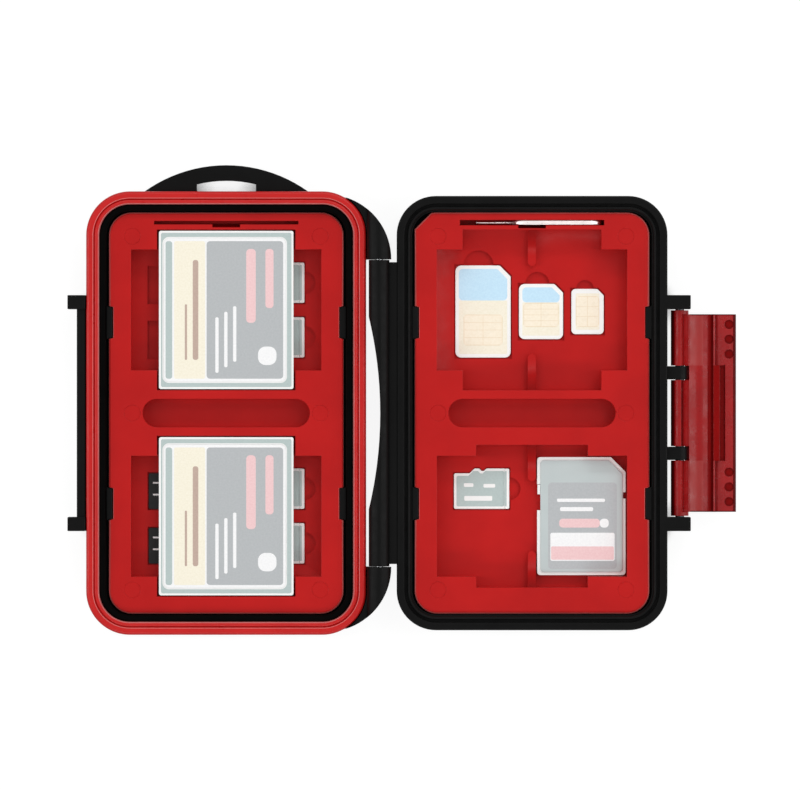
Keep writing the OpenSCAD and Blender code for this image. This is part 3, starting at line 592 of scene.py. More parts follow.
def rounded_outline(corners: Sequence[Corner], steps: int = 6) -> list[Point]:
    """Turns the corners of an outline into points, each corner rounded by an arc.

    Args:
        corners: X, Y and radius of each corner in millimetres, anticlockwise.
        steps: Number of chords in a quarter turn.

    Returns:
        The outline's points.
    """
    points: list[Point] = []
    count = len(corners)
    for i, (x, y, radius) in enumerate(corners):
        here = Vector((x, y))
        if radius <= 0:
            points.append((x, y))
            continue
        back = (Vector(corners[i - 1][:2]) - here).normalized()
        ahead = (Vector(corners[(i + 1) % count][:2]) - here).normalized()
        half = back.angle(ahead) / 2
        middle = here + (back + ahead).normalized() * radius / math.sin(half)
        start = here + back * radius / math.tan(half) - middle
        sweep = math.copysign(math.pi - 2 * half, back.angle_signed(ahead))
        chords = max(2, round(steps * abs(sweep) / (math.pi / 2)))
        for k in range(chords + 1):
            angle = sweep * k / chords
            cosine, sine = math.cos(angle), math.sin(angle)
            points.append((
                middle.x + start.x * cosine - start.y * sine, middle.y + start.x * sine + start.y * cosine
            ))
    return points


def rectangle(width: float, length: float, radius: float, at: Point) -> list[Point]:
    """Outlines a rectangle with round corners.

    Args:
        width: Its width in millimetres.
        length: Its length.
        radius: Radius of its corners.
        at: Its middle.

    Returns:
        The outline's points.
    """
    left, right = at[0] - width / 2, at[0] + width / 2
    bottom, top = at[1] - length / 2, at[1] + length / 2
    return rounded_outline([
        (left, bottom, radius), (right, bottom, radius), (right, top, radius), (left, top, radius),
    ])


def arc(x: float, y: float, radius: float, start: float, end: float, steps: int = 6) -> list[Point]:
    """Points of an arc about x and y, from one angle to another in degrees."""
    turn = [math.radians(start + (end - start) * k / steps) for k in range(steps + 1)]
    return [(x + radius * math.cos(a), y + radius * math.sin(a)) for a in turn]


class Slabs:
    """Flat plates stacked into one piece, in millimetres."""

    def __init__(self) -> None:
        """Starts with no plates."""
        self.work = bmesh.new()
        self.layer = self.work.edges.layers.float.new(EDGE_LAYER)

    def add(self, outline: Sequence[Point], low: float, high: float, ink: int = 0, edge: float = 0.0) -> None:
        """Adds a plate.

        Args:
            outline: Its points, anticlockwise.
            low: Height of its underside.
            high: Height of its top.
            ink: Number of its material.
            edge: Rounding of its top and bottom edges.
        """
        floor = [self.work.verts.new(metres((x, y, low))) for x, y in outline]
        roof = [self.work.verts.new(metres((x, y, high))) for x, y in outline]
        faces = [self.work.faces.new(roof), self.work.faces.new(list(reversed(floor)))]
        for i in range(len(outline)):
            j = (i + 1) % len(outline)
            faces.append(self.work.faces.new((floor[i], floor[j], roof[j], roof[i])))
        for face in faces:
            face.material_index = ink
        for face in faces[:2]:
            for side in face.edges:
                side[self.layer] = edge

    def piece(self, name: str, *materials: bpy.types.Material) -> bpy.types.Object:
        """Turns the plates into a piece with rounded edges.

        Args:
            name: Name of the piece.
            materials: Its materials in the order of their numbers.

        Returns:
            The piece.
        """
        mesh = bpy.data.meshes.new(name)
        self.work.to_mesh(mesh)
        self.work.free()
        for material in materials:
            mesh.materials.append(material)
        return round_edges(new_object(name, mesh))


@dataclass(frozen=True)
class Bar:
    """Plain printed bar: its middle from a mark on the label, its width and length, and its ink's number."""

    across: float
    up: float
    width: float
    length: float
    ink: int
    round_share: float = 0.4

    def add_to(self, sheet: Slabs, x: float, y: float, low: float, high: float) -> None:
        """Adds the bar to a label's sheet.

        Args:
            sheet: The sheet.
            x: Where the label's mark lies across.
            y: Where it lies along.
            low: Height of the bar's underside.
            high: Height of its top.
        """
        radius = min(self.width, self.length) * self.round_share
        outline = rectangle(self.width, self.length, radius, (x + self.across, y + self.up))
        sheet.add(outline, low, high, self.ink)


# Geometry Nodes

SOCKETS = {
    int: "NodeSocketInt", float: "NodeSocketFloat", tuple: "NodeSocketVector",
    bpy.types.Object: "NodeSocketObject", bpy.types.Material: "NodeSocketMaterial",
}


class Tree:
    """Geometry Nodes tree with named inputs, which ends in Realize Instances and Set Material."""

    def __init__(self, name: str, **inputs: object) -> None:
        """Starts the tree.

        Args:
            name: The tree's name.
            inputs: Value of each input by name. Material is one of them.
        """
        self.tree = bpy.data.node_groups.new(name, "GeometryNodeTree")
        sockets = self.tree.interface
        sockets.new_socket("Geometry", in_out="INPUT", socket_type="NodeSocketGeometry")
        self.values: dict[str, object] = {}
        for key, value in inputs.items():
            socket = sockets.new_socket(key, in_out="INPUT", socket_type=SOCKETS[type(value)])
            self.values[socket.identifier] = value
        sockets.new_socket("Geometry", in_out="OUTPUT", socket_type="NodeSocketGeometry")
        self.entry = self.tree.nodes.new("NodeGroupInput")

    def given(self, name: str) -> bpy.types.NodeSocket:
        """Socket of one of the tree's inputs."""
        return self.entry.outputs[name]

    def gridded(self, shape: bpy.types.NodeSocket) -> bpy.types.NodeSocket:
        """Lays copies of a shape in the grid that the inputs Grid_X, Grid_Y, Across, Rows and Place give.

        Args:
            shape: The shape's mesh.

        Returns:
            The copies, still as instances.
        """
        grid = add_node(self.tree, "GeometryNodeMeshGrid", inputs={
            "Size X": self.given("Grid_X"), "Size Y": self.given("Grid_Y"),
            "Vertices X": self.given("Across"), "Vertices Y": self.given("Rows"),
        })
        laid = add_node(self.tree, "GeometryNodeInstanceOnPoints", inputs={
            "Points": grid.outputs["Mesh"], "Instance": shape,
        })
        placed = add_node(self.tree, "GeometryNodeTransform", inputs={
            "Geometry": laid.outputs["Instances"], "Translation": self.given("Place"),
        })
        return placed.outputs["Geometry"]

    def apply(self, geometry: bpy.types.NodeSocket, piece: bpy.types.Object) -> bpy.types.Object:
        """Ends the tree, runs it on a piece and keeps the result as the piece's plain mesh.

        Args:
            geometry: What the tree has made.
            piece: Object that carries the modifier.

        Returns:
            The same object.
        """
        real = add_node(self.tree, "GeometryNodeRealizeInstances", inputs={"Geometry": geometry})
        painted = add_node(self.tree, "GeometryNodeSetMaterial", inputs={
            "Geometry": real.outputs["Geometry"], "Material": self.given("Material"),
        })
        add_node(self.tree, "NodeGroupOutput", inputs={0: painted.outputs["Geometry"]})
        modifier = piece.modifiers.new(self.tree.name, "NODES")
        modifier.node_group = self.tree
        for identifier, value in self.values.items():
            modifier[identifier] = value
        return baked(piece)


def swept_ring(
    name: str, size: Point, radius: float, middle: Point, section: Sequence[Point],
    material: bpy.types.Material,
) -> bpy.types.Object:
    """Sweeps a closed section round a rectangle with round corners.

    Args:
        name: Name of the piece.
        size: Width and length of the path in millimetres.
        radius: Radius of the path's corners.
        middle: Middle of the path.
        section: Points of the section. X counts outwards from the path and Y is the height, which the sweep
            turns over.
        material: The piece's material.

    Returns:
        The piece with a plain mesh.
    """
    curve = bpy.data.curves.new(name + "_section", "CURVE")
    spline = curve.splines.new("POLY")
    spline.points.add(len(section) - 1)
    spline.use_cyclic_u = True
    for point, (x, y) in zip(spline.points, section):
        point.co = (x * MM, -y * MM, 0, 1)
    profile = new_object(name + "_section", curve)
    ring = Tree(
        "ring_sweep", Width=size[0] * MM, Length=size[1] * MM, Radius=radius * MM, Steps=28,
        Place=metres((middle[0], middle[1], 0)), Section=profile, Material=material,
    )
    path = add_node(ring.tree, "GeometryNodeCurvePrimitiveQuadrilateral", inputs={
        "Width": ring.given("Width"), "Height": ring.given("Length"),
    })
    bent = add_node(ring.tree, "GeometryNodeFilletCurve", {"mode": "POLY"}, {
        "Curve": path.outputs["Curve"], "Count": ring.given("Steps"), "Radius": ring.given("Radius"),
    })
    upright = add_node(ring.tree, "GeometryNodeSetCurveNormal", {"mode": "Z_UP"}, {
        "Curve": bent.outputs["Curve"],
    })
    section_curve = add_node(ring.tree, "GeometryNodeObjectInfo", inputs={"Object": ring.given("Section")})
    swept = add_node(ring.tree, "GeometryNodeCurveToMesh", inputs={
        "Curve": upright.outputs["Curve"], "Profile Curve": section_curve.outputs["Geometry"],
    })
    placed = add_node(ring.tree, "GeometryNodeTransform", inputs={
        "Geometry": swept.outputs["Mesh"], "Translation": ring.given("Place"),
    })
    piece = ring.apply(placed.outputs["Geometry"], new_object(name, bpy.data.meshes.new(name)))
    bpy.data.objects.remove(profile)
    with edited(piece.data) as work:
        bmesh.ops.recalc_face_normals(work, faces=work.faces)
    return piece


def pressed_marks(
    tray: bpy.types.Object, place: Corner, pitch: Point, radius: float, depth: float,
    material: bpy.types.Material,
) -> None:
    """Presses round marks of the mould's ejector pins into a tray's top, in two columns of three.

    Args:
        tray: The tray.
        place: Middle of the tray's top in millimetres.
        pitch: Distance between the columns and between the rows.
        radius: Radius of a mark.
        depth: Depth of a mark.
        material: The tray's material.
    """
    marks = Tree(
        "ejector_marks", Grid_X=pitch[0] * MM, Grid_Y=2 * pitch[1] * MM, Across=2, Rows=3,
        Radius=radius * MM, Depth=2 * depth * MM, Place=metres(place), Material=material,
    )
    disc = add_node(marks.tree, "GeometryNodeMeshCylinder", inputs={
        "Vertices": 40, "Radius": marks.given("Radius"), "Depth": marks.given("Depth"),
    })
    real = add_node(marks.tree, "GeometryNodeRealizeInstances", inputs={
        "Geometry": marks.gridded(disc.outputs["Mesh"]),
    })
    cut = add_node(marks.tree, "GeometryNodeMeshBoolean", {"operation": "DIFFERENCE", "solver": "EXACT"}, {
        "Mesh 1": marks.given("Geometry"), "Mesh 2": real.outputs["Geometry"],
    })
    marks.apply(cut.outputs["Mesh"], tray)


def contact_pads(
    name: str, place: Corner, size: Point, pads: tuple[int, int], material: bpy.types.Material,
    gap: float = 0.16, raised: float = 0.025,
) -> bpy.types.Object:
    """Lays a grid of flat contact pads.

    Args:
        name: Name of the piece.
        place: Middle of the grid, at the pads' underside, in millimetres.
        size: Width and length of the whole grid.
        pads: Number of pads across and along.
        material: The pads' material.
        gap: Distance between two pads.
        raised: Thickness of a pad.

    Returns:
        The piece with a plain mesh.
    """
    step = [size[i] / pads[i] for i in (0, 1)]
    plate = Tree(
        "contact_pads", Grid_X=(size[0] - step[0]) * MM, Grid_Y=(size[1] - step[1]) * MM,
        Across=pads[0], Rows=pads[1], Pad=metres((step[0] - gap, step[1] - gap, raised)),
        Place=metres((place[0], place[1], place[2] + raised / 2)), Material=material,
    )
    pad = add_node(plate.tree, "GeometryNodeMeshCube", inputs={"Size": plate.given("Pad")})
    return plate.apply(plate.gridded(pad.outputs["Mesh"]), new_object(name, bpy.data.meshes.new(name)))


def joined(first: bpy.types.Object, second: bpy.types.Object) -> bpy.types.Object:
    """Adds one object's mesh to another's, with its materials, and removes the one.

    Args:
        first: Object that takes the mesh.
        second: Object that gives it and is removed.

    Returns:
        The first object.
    """
    shift = len(first.data.materials)
    for material in second.data.materials:
        first.data.materials.append(material)
    with edited(first.data) as work:
        count = len(work.faces)
        work.from_mesh(second.data)
        work.faces.ensure_lookup_table()
        for face in work.faces[count:]:
            face.material_index += shift
    bpy.data.objects.remove(second)
    return first


# The case

@dataclass
class Shell:
    """One black half of the case, with all that is moulded on it."""

    node: str
    body: str
    edge: float = 0.22
    edge_share: float = 0.3
    hinge_end: float = 41.4
    hinge_gap: float = 0.15
    slack: float = 0.05

    def rounding(self, edge: bmesh.types.BMEdge) -> float:
        """Rounding of one edge: less on a short one, none on the faces that meet in the hinge.

        Args:
            edge: Edge of the shell.

        Returns:
            Its rounding in millimetres.
        """
        near, far = sorted(abs(v.co.y) / MM for v in edge.verts)
        if self.hinge_end - self.slack < near and far < self.hinge_end + self.hinge_gap + self.slack:
            return 0.0
        return min(self.edge, edge.calc_length() / MM * self.edge_share)

    def build(self, palette: Palette) -> None:
        """Makes the shell with its edges rounded."""
        rounded_copy(self.node, "moulded", self.rounding, self.body, palette.shell)


@dataclass
class CardTray:
    """Red moulded insert, with its bays, its soft outer edge with a painted highlight on it, and the marks of
    the ejector pins.
    """

    node: str
    body: str
    corner_r: float = 6.2
    outer_edge: float = 0.7
    outer_slack: float = 0.3
    bay_edge: float = 0.2
    # Slopes of the outer edge's faces that get the painted highlight
    painted_highlight_slope: Point = (0.1, 0.8)
    mark_pitch: Point = (50.8, 47.8)
    mark_r: float = 2.15
    mark_depth: float = 0.16

    def build(self, palette: Palette) -> None:
        """Makes the tray.

        Args:
            palette: The case's finishes.
        """
        box = box_mm(self.node)
        middle, size, top = box.middle, box.size, box.high.z
        piece = clean_copy(self.node, self.node + "_moulded")
        pressed_marks(piece, box.top(), self.mark_pitch, self.mark_r, self.mark_depth, palette.tray)

        def reach(point: Vector) -> float:
            """How far a point lies out towards the tray's outer face, which is at the corner radius."""
            beyond = [abs(point[i] - middle[i]) - size[i] / 2 + self.corner_r for i in (0, 1)]
            return math.hypot(*beyond) if min(beyond) > 0 else max(beyond)

        def rounding(edge: bmesh.types.BMEdge) -> float:
            """Rounding of one edge of the tray's top, by where it runs.

            Args:
                edge: Edge of the tray.

            Returns:
                Its rounding in millimetres.
            """
            ends = [v.co / MM for v in edge.verts]
            if min(end.z for end in ends) < top - SAME:
                return 0.0
            outer = min(map(reach, ends)) > self.corner_r - self.outer_slack
            return self.outer_edge if outer else self.bay_edge

        def gets_painted_highlight(face: bpy.types.MeshPolygon) -> bool:
            """Tells whether a face belongs to the rounded outer edge, which gets a painted highlight.

            Args:
                face: Face of the tray.

            Returns:
                True if it does.
            """
            at = face.center / MM
            least, most = self.painted_highlight_slope
            rounded = at.z > top - self.outer_edge and least < face.normal.z < most
            return rounded and reach(at) > self.corner_r - 2 * self.outer_edge

        mark_edges(piece, rounding)
        piece = round_edges(piece, 3)
        # The paler red on the rounded outer edge is a painted highlight
        repaint(piece, palette.tray_painted_highlight, gets_painted_highlight)
        finished(piece, self.body, [self.node])


@dataclass
class SealedRim:
    """Red rim of the lid with a painted highlight on its inner bead, and the black seal that lies inside it.
    """

    corner_r: float = 11.85
    rim_w: float = 3.6
    band_w: float = 1.9
    band_r: float = 0.15
    line: float = 0.14
    bead_drop: float = 0.25
    outer_r: float = 0.9
    foot_r: float = 0.3
    # Slopes of the bead's faces that get the painted highlight
    painted_highlight_slope: Point = (0.2, 0.93)
    skirt_in: float = 1.15
    seat_drop: float = 3.0
    seal_w: float = 1.5
    sharp_deg: float = 40.0

    def rim_section(self, top: float, bottom: float) -> list[Point]:
        """Outline of the rim, anticlockwise from the skirt's inner foot, with X 0 at the rim's outer face.

        Args:
            top: Height of the rim's top in millimetres.
            bottom: Height of the skirt's foot.

        Returns:
            The outline's points.
        """
        seat = top - self.seat_drop
        bead_top = top - self.bead_drop
        line_y = bead_top - self.line
        groove = -self.band_w - self.line
        bead_r = (self.rim_w - self.band_w - self.line) / 2
        return [
            (-self.skirt_in, bottom),
            *arc(-self.foot_r, bottom + self.foot_r, self.foot_r, -90, 0, 3),
            *arc(-self.outer_r, top - self.outer_r, self.outer_r, 0, 90),
            *arc(-self.band_w + self.band_r, top - self.band_r, self.band_r, 90, 180, 2),
            (-self.band_w, line_y), (groove, line_y),
            *arc(groove - bead_r, bead_top - bead_r, bead_r, 20, 180, 8),
            (-self.rim_w, seat), (-self.skirt_in, seat),
        ]

    def seal_section(self, top: float, seat: float) -> list[Point]:
        """Outline of the seal about its own middle: straight sides under a round crown."""
        radius = self.seal_w / 2
        return [(-radius, seat), (radius, seat), *arc(0, top - radius, radius, 0, 180, 10)]

    def build(self, palette: Palette) -> None:
        """Makes the rim and the seal.

        Args:
            palette: The case's finishes.
        """
        box = box_mm("lid_rim")
        section = self.rim_section(box.high.z, box.low.z)
        rim = swept_ring("lid_rim_moulded", box.size.xy, self.corner_r, box.middle.xy, section, palette.rim)

        def gets_painted_highlight(face: bpy.types.MeshPolygon) -> bool:
            """Tells whether a face belongs to the bead's inner side, which gets a painted highlight.

            Args:
                face: Face of the rim.

            Returns:
                True if it does.
            """
            at = face.center / MM - box.middle
            least, most = self.painted_highlight_slope
            return least < face.normal.z < most and at.xy.dot(face.normal.xy) < 0

        rim = shaded(rim, self.sharp_deg)
        # The paler red on the bead's inner side is a painted highlight
        repaint(rim, palette.rim_painted_highlight, gets_painted_highlight)
        finished(rim, "lid", ["lid_rim"])
        groove = box_mm("lid_gasket")
        inset = box.high.x - groove.high.x + self.seal_w / 2
        path = groove.size.xy - Vector((self.seal_w, self.seal_w))
        seal = swept_ring(
            "lid_gasket_moulded", path, self.corner_r - inset, groove.middle.xy,
            self.seal_section(groove.high.z, groove.low.z), palette.seal,
        )
        finished(shaded(seal, self.sharp_deg), "lid", ["lid_gasket"])


class Tint(Enum):
    """The clear latch's plain tint, and its painted shade and painted highlight, as the number of each
    material.
    """

    PLAIN = 0
    THICK = 1
    THIN = 2
    WALL = 3


@dataclass
class ClearLatch:
    """See-through latch, with painted shade and a painted highlight in bands that count outwards from its
    axis, in millimetres.
    """

    edge: float = 0.25
    short: float = 0.6
    short_edge: float = 0.1
    # Widths of the outline and of the nose that get painted shade
    outline_w: float = 0.3
    nose_w: float = 0.8
    middle_half: float = 12.9
    end_slack: float = 0.05
    # Hollow of the side parts, which gets a painted highlight; the plate starts at its first end
    thin: Point = (2.9, 6.4)
    # Line of painted shade on the middle part's barrel slope
    slope_line: Point = (0.35, 0.85)
    slope_end: float = 2.6
    # Bands beside the side parts' hook, and over the middle's hook and groove, that get painted shade
    side_thick: tuple[Point, ...] = ((7.8, 8.7), (9.6, 10.3))
    middle_thick: tuple[Point, ...] = ((7.6, 12.2),)
    # Faces steeper than this, and the dimples below the lip, get painted shade
    steep: float = 0.8
    level: float = 0.99
    dimple_drop: float = 0.3

    def rounding(self, edge: bmesh.types.BMEdge, axis: Vector) -> float:
        """Rounding of one edge: less on the dimples' chords, none on the barrel and the end faces.

        Args:
            edge: Edge of the latch.
            axis: Latch's axis in millimetres.

        Returns:
            Its rounding in millimetres.
        """
        ends = [v.co / MM for v in edge.verts]
        if max(end.x for end in ends) < axis.x + self.slope_end:
            return 0.0
        if abs(ends[0].y - ends[1].y) < SAME and abs(ends[0].y) > self.middle_half - self.end_slack:
            return 0.0
        return self.edge if edge.calc_length() / MM > self.short else self.short_edge

    def tint(self, face: bmesh.types.BMFace, axis: Vector, lip_z: float, reach: Point) -> Tint:
        """Chooses whether a face gets the plain tint, painted shade, painted shade on the edges, or a painted
        highlight.

        Args:
            face: Face of the latch.
            axis: Latch's axis in millimetres.
            lip_z: Height of the finger lip's upper face.
            reach: How far the plate reaches out from the axis, and half its length along the axis.

        Returns:
            The tint.
        """
        at = face.calc_center_median() / MM
        out = at.x - axis.x
        middle = abs(at.y) < self.middle_half
        # A line on the middle part's barrel slope gets painted shade
        if 0 < face.normal.z and self.slope_line[0] < out < self.slope_end:
            return Tint.WALL if middle and out < self.slope_line[1] else Tint.PLAIN
        # Steep faces, the plate's ends and its nose get painted shade
        end = out > self.thin[0] and abs(at.y) > reach[1] - self.outline_w
        if face.normal.z < self.steep or end or out > reach[0] - self.nose_w:
            return Tint.WALL
        # Bands beside the side parts' hook, and the middle's hook and groove, get painted shade
        if any(first < out < last for first, last in (self.middle_thick if middle else self.side_thick)):
            return Tint.THICK
        # The dimples below the lip get painted shade
        if out > self.middle_thick[0][1] and at.z < lip_z - self.dimple_drop:
            return Tint.THICK
        # The hollow of the side parts gets a painted highlight
        return Tint.THIN if not middle and self.thin[0] < out < self.thin[1] else Tint.PLAIN

    def tint_faces(self, work: bmesh.types.BMesh, axis: Vector) -> None:
        """Cuts the latch's faces where the painted shade and highlight begin and end, and gives each face its
        tint's number.

        Args:
            work: The latch's open mesh.
            axis: Latch's axis in millimetres.
        """
        plate = [v.co / MM for v in work.verts if v.co.x / MM > axis.x + self.thin[0]]
        reach = (max(p.x for p in plate) - axis.x, max(abs(p.y) for p in plate))
        bands = (self.thin, *self.side_thick, *self.middle_thick, self.slope_line, (reach[0] - self.nose_w,))
        cuts = [(axis.x + x, 0) for band in bands for x in band]
        cuts += [(side * y, 1) for side in (-1, 1) for y in (self.middle_half, reach[1] - self.outline_w)]
        for place, way in cuts:
            point, normal = [0.0, 0.0, 0.0], [0.0, 0.0, 0.0]
            point[way], normal[way] = place * MM, 1.0
            bmesh.ops.bisect_plane(
                work, geom=[*work.verts, *work.edges, *work.faces], plane_co=point, plane_no=normal,
                dist=0.001 * MM,
            )
        level = [face.calc_center_median() / MM for face in work.faces if face.normal.z > self.level]
        lip_z = max(at.z for at in level if at.x > axis.x + self.middle_thick[0][1])
        for face in work.faces:
            face.material_index = self.tint(face, axis, lip_z, reach).value

    def build(self, palette: Palette) -> None:
        """Makes the latch.

        Args:
            palette: The case's finishes.
        """
        piece = clean_copy("latch", "latch_moulded")
        axis = box_mm("latch_pin").middle
        with edited(piece.data) as work:
            self.tint_faces(work, axis)
        # Materials by the tint's number: plain tint, painted shade, painted highlight, painted shade on the
        # edges
        for material in (palette.latch, palette.latch_thick, palette.latch_thin, palette.latch_painted_edge_shade):
            piece.data.materials.append(material)
        mark_edges(piece, lambda edge: self.rounding(edge, axis))
        finished(round_edges(piece, 3), "latch", ["latch"])


def build_pins(palette: Palette, chamfer: float = 0.2) -> None:
    """Makes the latch's pin and the two short hinge pins, with chamfered ends.

    Args:
        palette: The case's finishes.
        chamfer: Chamfer of their ends in millimetres.
    """
    rounded_copy("latch_pin", "drawn", lambda edge: chamfer, "base", palette.dark_pin)
    for node in ("hinge_pin_upper", "hinge_pin_lower"):
        rounded_copy(node, "drawn", lambda edge: chamfer, "lid", palette.pin)


# The cards

PRINT_UP = 0.015  # How far a print stands above its card, in millimetres
PRINT_DEEP = 0.05  # How far it reaches into the card


@dataclass
class LargeCard:
    """CF card: a pale frame with a cover plate and a plain label with ruled lines."""

    side: str
    edge: float = 0.12
    long: float = 1.0
    rim: float = 0.55
    plate_r: float = 0.5
    plate_up: float = 0.02
    plate_d: float = 0.05
    label_r: float = 1.4
    label_gap: float = 0.35
    print_d: float = 0.02
    bar_half: float = 0.01
    bars: tuple[Bar, ...] = (
        Bar(8.6, 0.0, 1.5, 27.0, 5), Bar(6.0, -6.0, 0.6, 15.0, 5),
        *(Bar(14.4 + 2.4 * row, -9.5 + 1.5 * row, 0.9, 15.0, 0) for row in range(3)),
        Bar(23.6, 6.5, 2.6, 20.0, 4), Bar(28.6, 8.5, 2.2, 16.0, 4), Bar(28.0, -12.4, 5.0, 5.0, 0),
    )

    def build(self, palette: Palette) -> None:
        """Makes the card, its cover and its label.

        Args:
            palette: The case's finishes.
        """
        body, card = "cf_" + self.side, "cf_card_" + self.side

        def rounding(edge: bmesh.types.BMEdge) -> float:
            """Rounding of one edge of the frame, none on a short one."""
            return self.edge if edge.calc_length() / MM > self.long else 0.0

        rounded_copy(card, "moulded", rounding, body, palette.card_white)
        label = box_mm("cf_label_" + self.side)
        self.build_cover(palette, card, box_mm(card), label)
        self.build_label(palette, label)

    def build_cover(self, palette: Palette, name: str, card: Box, label: Box) -> None:
        """Makes the grey cover plate, a frame round the label.

        Args:
            palette: The case's finishes.
            name: Name of the card's node.
            card: The card's box.
            label: The label's box.
        """
        size = label.size.xy + Vector((2, 2)) * self.label_gap
        outer = rectangle(
            card.size.x - 2 * self.rim, card.size.y - 2 * self.rim, self.plate_r, card.middle
        )
        inner = rectangle(size.x, size.y, self.label_r + self.label_gap, label.middle)
        heights = (card.high.z - self.plate_d, card.high.z + self.plate_up)
        work = bmesh.new()
        rings = [
            [work.verts.new(metres((x, y, z))) for x, y in outline]
            for z in heights for outline in (outer, inner)
        ]
        for i in range(len(outer)):
            j = (i + 1) % len(outer)
            for a, b, start, end in ((2, 3, i, j), (0, 1, j, i), (0, 2, i, j), (1, 3, j, i)):
                work.faces.new((rings[a][start], rings[a][end], rings[b][end], rings[b][start]))
        mesh = bpy.data.meshes.new(name + "_cover")
        work.to_mesh(mesh)
        work.free()
        cover = shaded(new_object(name + "_cover", mesh))
        finished(cover, "cf_" + self.side, [], palette.ink_cool)

    def build_label(self, palette: Palette, box: Box) -> None:
        """Makes the label: a white sheet with three fields of colour, plain bars and ruled lines.

        Args:
            palette: The case's finishes.
            box: The label's box.
        """
        label = "cf_label_" + self.side
        width, length = box.size.xy
        left, middle_y, top = box.low.x, box.middle.y, box.high.z
        print_z = top + PRINT_UP
        sheet = Slabs()
        sheet.add(rectangle(width, length, self.label_r, box.middle), box.low.z, top)
        for start, end, ink, radius in ((0.5, 2.3, 1, 0.7), (2.8, 11.2, 2, 0.5), (11.6, width - 0.7, 3, 0.9)):
            field = rectangle(end - start, length - 1.6, radius, (left + (start + end) / 2, middle_y))
            sheet.add(field, top - self.print_d, print_z, ink)
        for bar in self.bars:
            bar.add_to(sheet, left, middle_y, print_z - self.bar_half, print_z + self.bar_half)
        piece = sheet.piece(
            label + "_printed", palette.ink_white, palette.ink_cool, palette.ink_cream, palette.ink_grey,
            palette.ink_pink, palette.ink_taupe,
        )
        finished(piece, "cf_" + self.side, [label])


@dataclass
class SdCard:
    """SD card with its stepped edge, its label and its write-protect switch."""

    cut: float = 4.0
    corner: float = 0.9
    edge: float = 0.12
    step: float = 0.9
    step_drop: float = 0.35
    step_edge: float = 0.1
    notch_down: float = 10.4
    notch_half: float = 0.85
    notch_d: float = 0.7
    slot_d: float = 1.0
    slot_l: float = 7.0
    slot_gap: float = 0.1
    label_r: float = 1.0
    block_in: float = 1.2
    block_l: float = 7.6
    block_up: float = 2.2
    block_r: float = 0.5
    stripe_in: float = 1.6
    stripe_l: float = 3.6
    stripe_down: float = 1.7
    stripe_r: float = 0.4
    layer: float = 0.01
    bars: tuple[Bar, ...] = (
        Bar(-0.8, 6.4, 11.0, 2.4, 2), Bar(5.9, 6.4, 2.4, 2.4, 1), Bar(-1.6, 10.2, 9.0, 1.1, 1),
        Bar(-0.4, 12.6, 13.0, 0.9, 1),
    )

    def outline(self, box: Box, inset: float) -> list[Point]:
        """Outline of the card, inset from its edge. Only the full one has the switch's slot and the notch.

        Args:
            box: The card's box.
            inset: Distance from the card's edge, 0 for the full outline.

        Returns:
            The outline's points.
        """
        left, right = box.low.x + inset, box.high.x - inset
        bottom, top = box.low.y + inset, box.high.y - inset
        cut = self.cut - inset * 0.4
        notch: list[Corner] = []
        slot: list[Corner] = []
        if inset == 0:
            low, high = top - self.notch_down - self.notch_half, top - self.notch_down + self.notch_half
            floor_x = right - self.notch_d
            notch = [(right, low, 0), (floor_x, low, 0.2), (floor_x, high, 0.2), (right, high, 0)]
            high = box_mm("sd_switch").high.y + self.slot_gap
            low, floor_x = high - self.slot_l, left + self.slot_d
            slot = [(left, high, 0), (floor_x, high, 0), (floor_x, low, 0), (left, low, 0)]
        return rounded_outline([
            (left, bottom, self.corner), (right, bottom, self.corner), *notch, (right, top - cut, 0.4),
            (right - cut, top, 0.4), (left, top, self.corner), *slot,
        ])

    def build(self, palette: Palette) -> None:
        """Makes the card, its label and its switch.

        Args:
            palette: The case's finishes.
        """
        box = box_mm("sd_card")
        step_z = box.high.z - self.step_drop
        body = Slabs()
        body.add(self.outline(box, 0), box.low.z, step_z, 0, self.edge)
        body.add(self.outline(box, self.step), step_z - 0.1, box.high.z, 1, self.step_edge)
        card = body.piece("sd_card_moulded", palette.card_white, palette.card_grey)
        finished(card, "sd", ["sd_card"])
        self.build_label(palette)
        rounded_copy(
            "sd_switch", "moulded", lambda edge: self.edge, "sd_write_switch",
            palette.card_white,
        )

    def build_label(self, palette: Palette) -> None:
        """Makes the label: a grey sheet with a white block, a pink stripe on it and plain bars.

        Args:
            palette: The case's finishes.
        """
        box = box_mm("sd_label")
        x, _, top = box.top()
        width = box.size.x
        block_y = box.low.y + self.block_up + self.block_l / 2
        sheet = Slabs()
        stripe_y = block_y - self.stripe_down
        block = rectangle(width - self.block_in, self.block_l, self.block_r, (x, block_y))
        stripe = rectangle(width - self.stripe_in, self.stripe_l, self.stripe_r, (x, stripe_y))
        sheet.add(rectangle(width, box.size.y, self.label_r, box.middle), box.low.z, top + self.layer)
        sheet.add(block, top, top + 2 * self.layer, 1)
        sheet.add(stripe, top, top + 3 * self.layer, 2)
        for bar in self.bars:
            bar.add_to(sheet, x, block_y, top, top + 2 * self.layer)
        piece = sheet.piece("sd_label_printed", palette.ink_grey, palette.ink_white, palette.ink_pink)
        finished(piece, "sd", ["sd_label"])


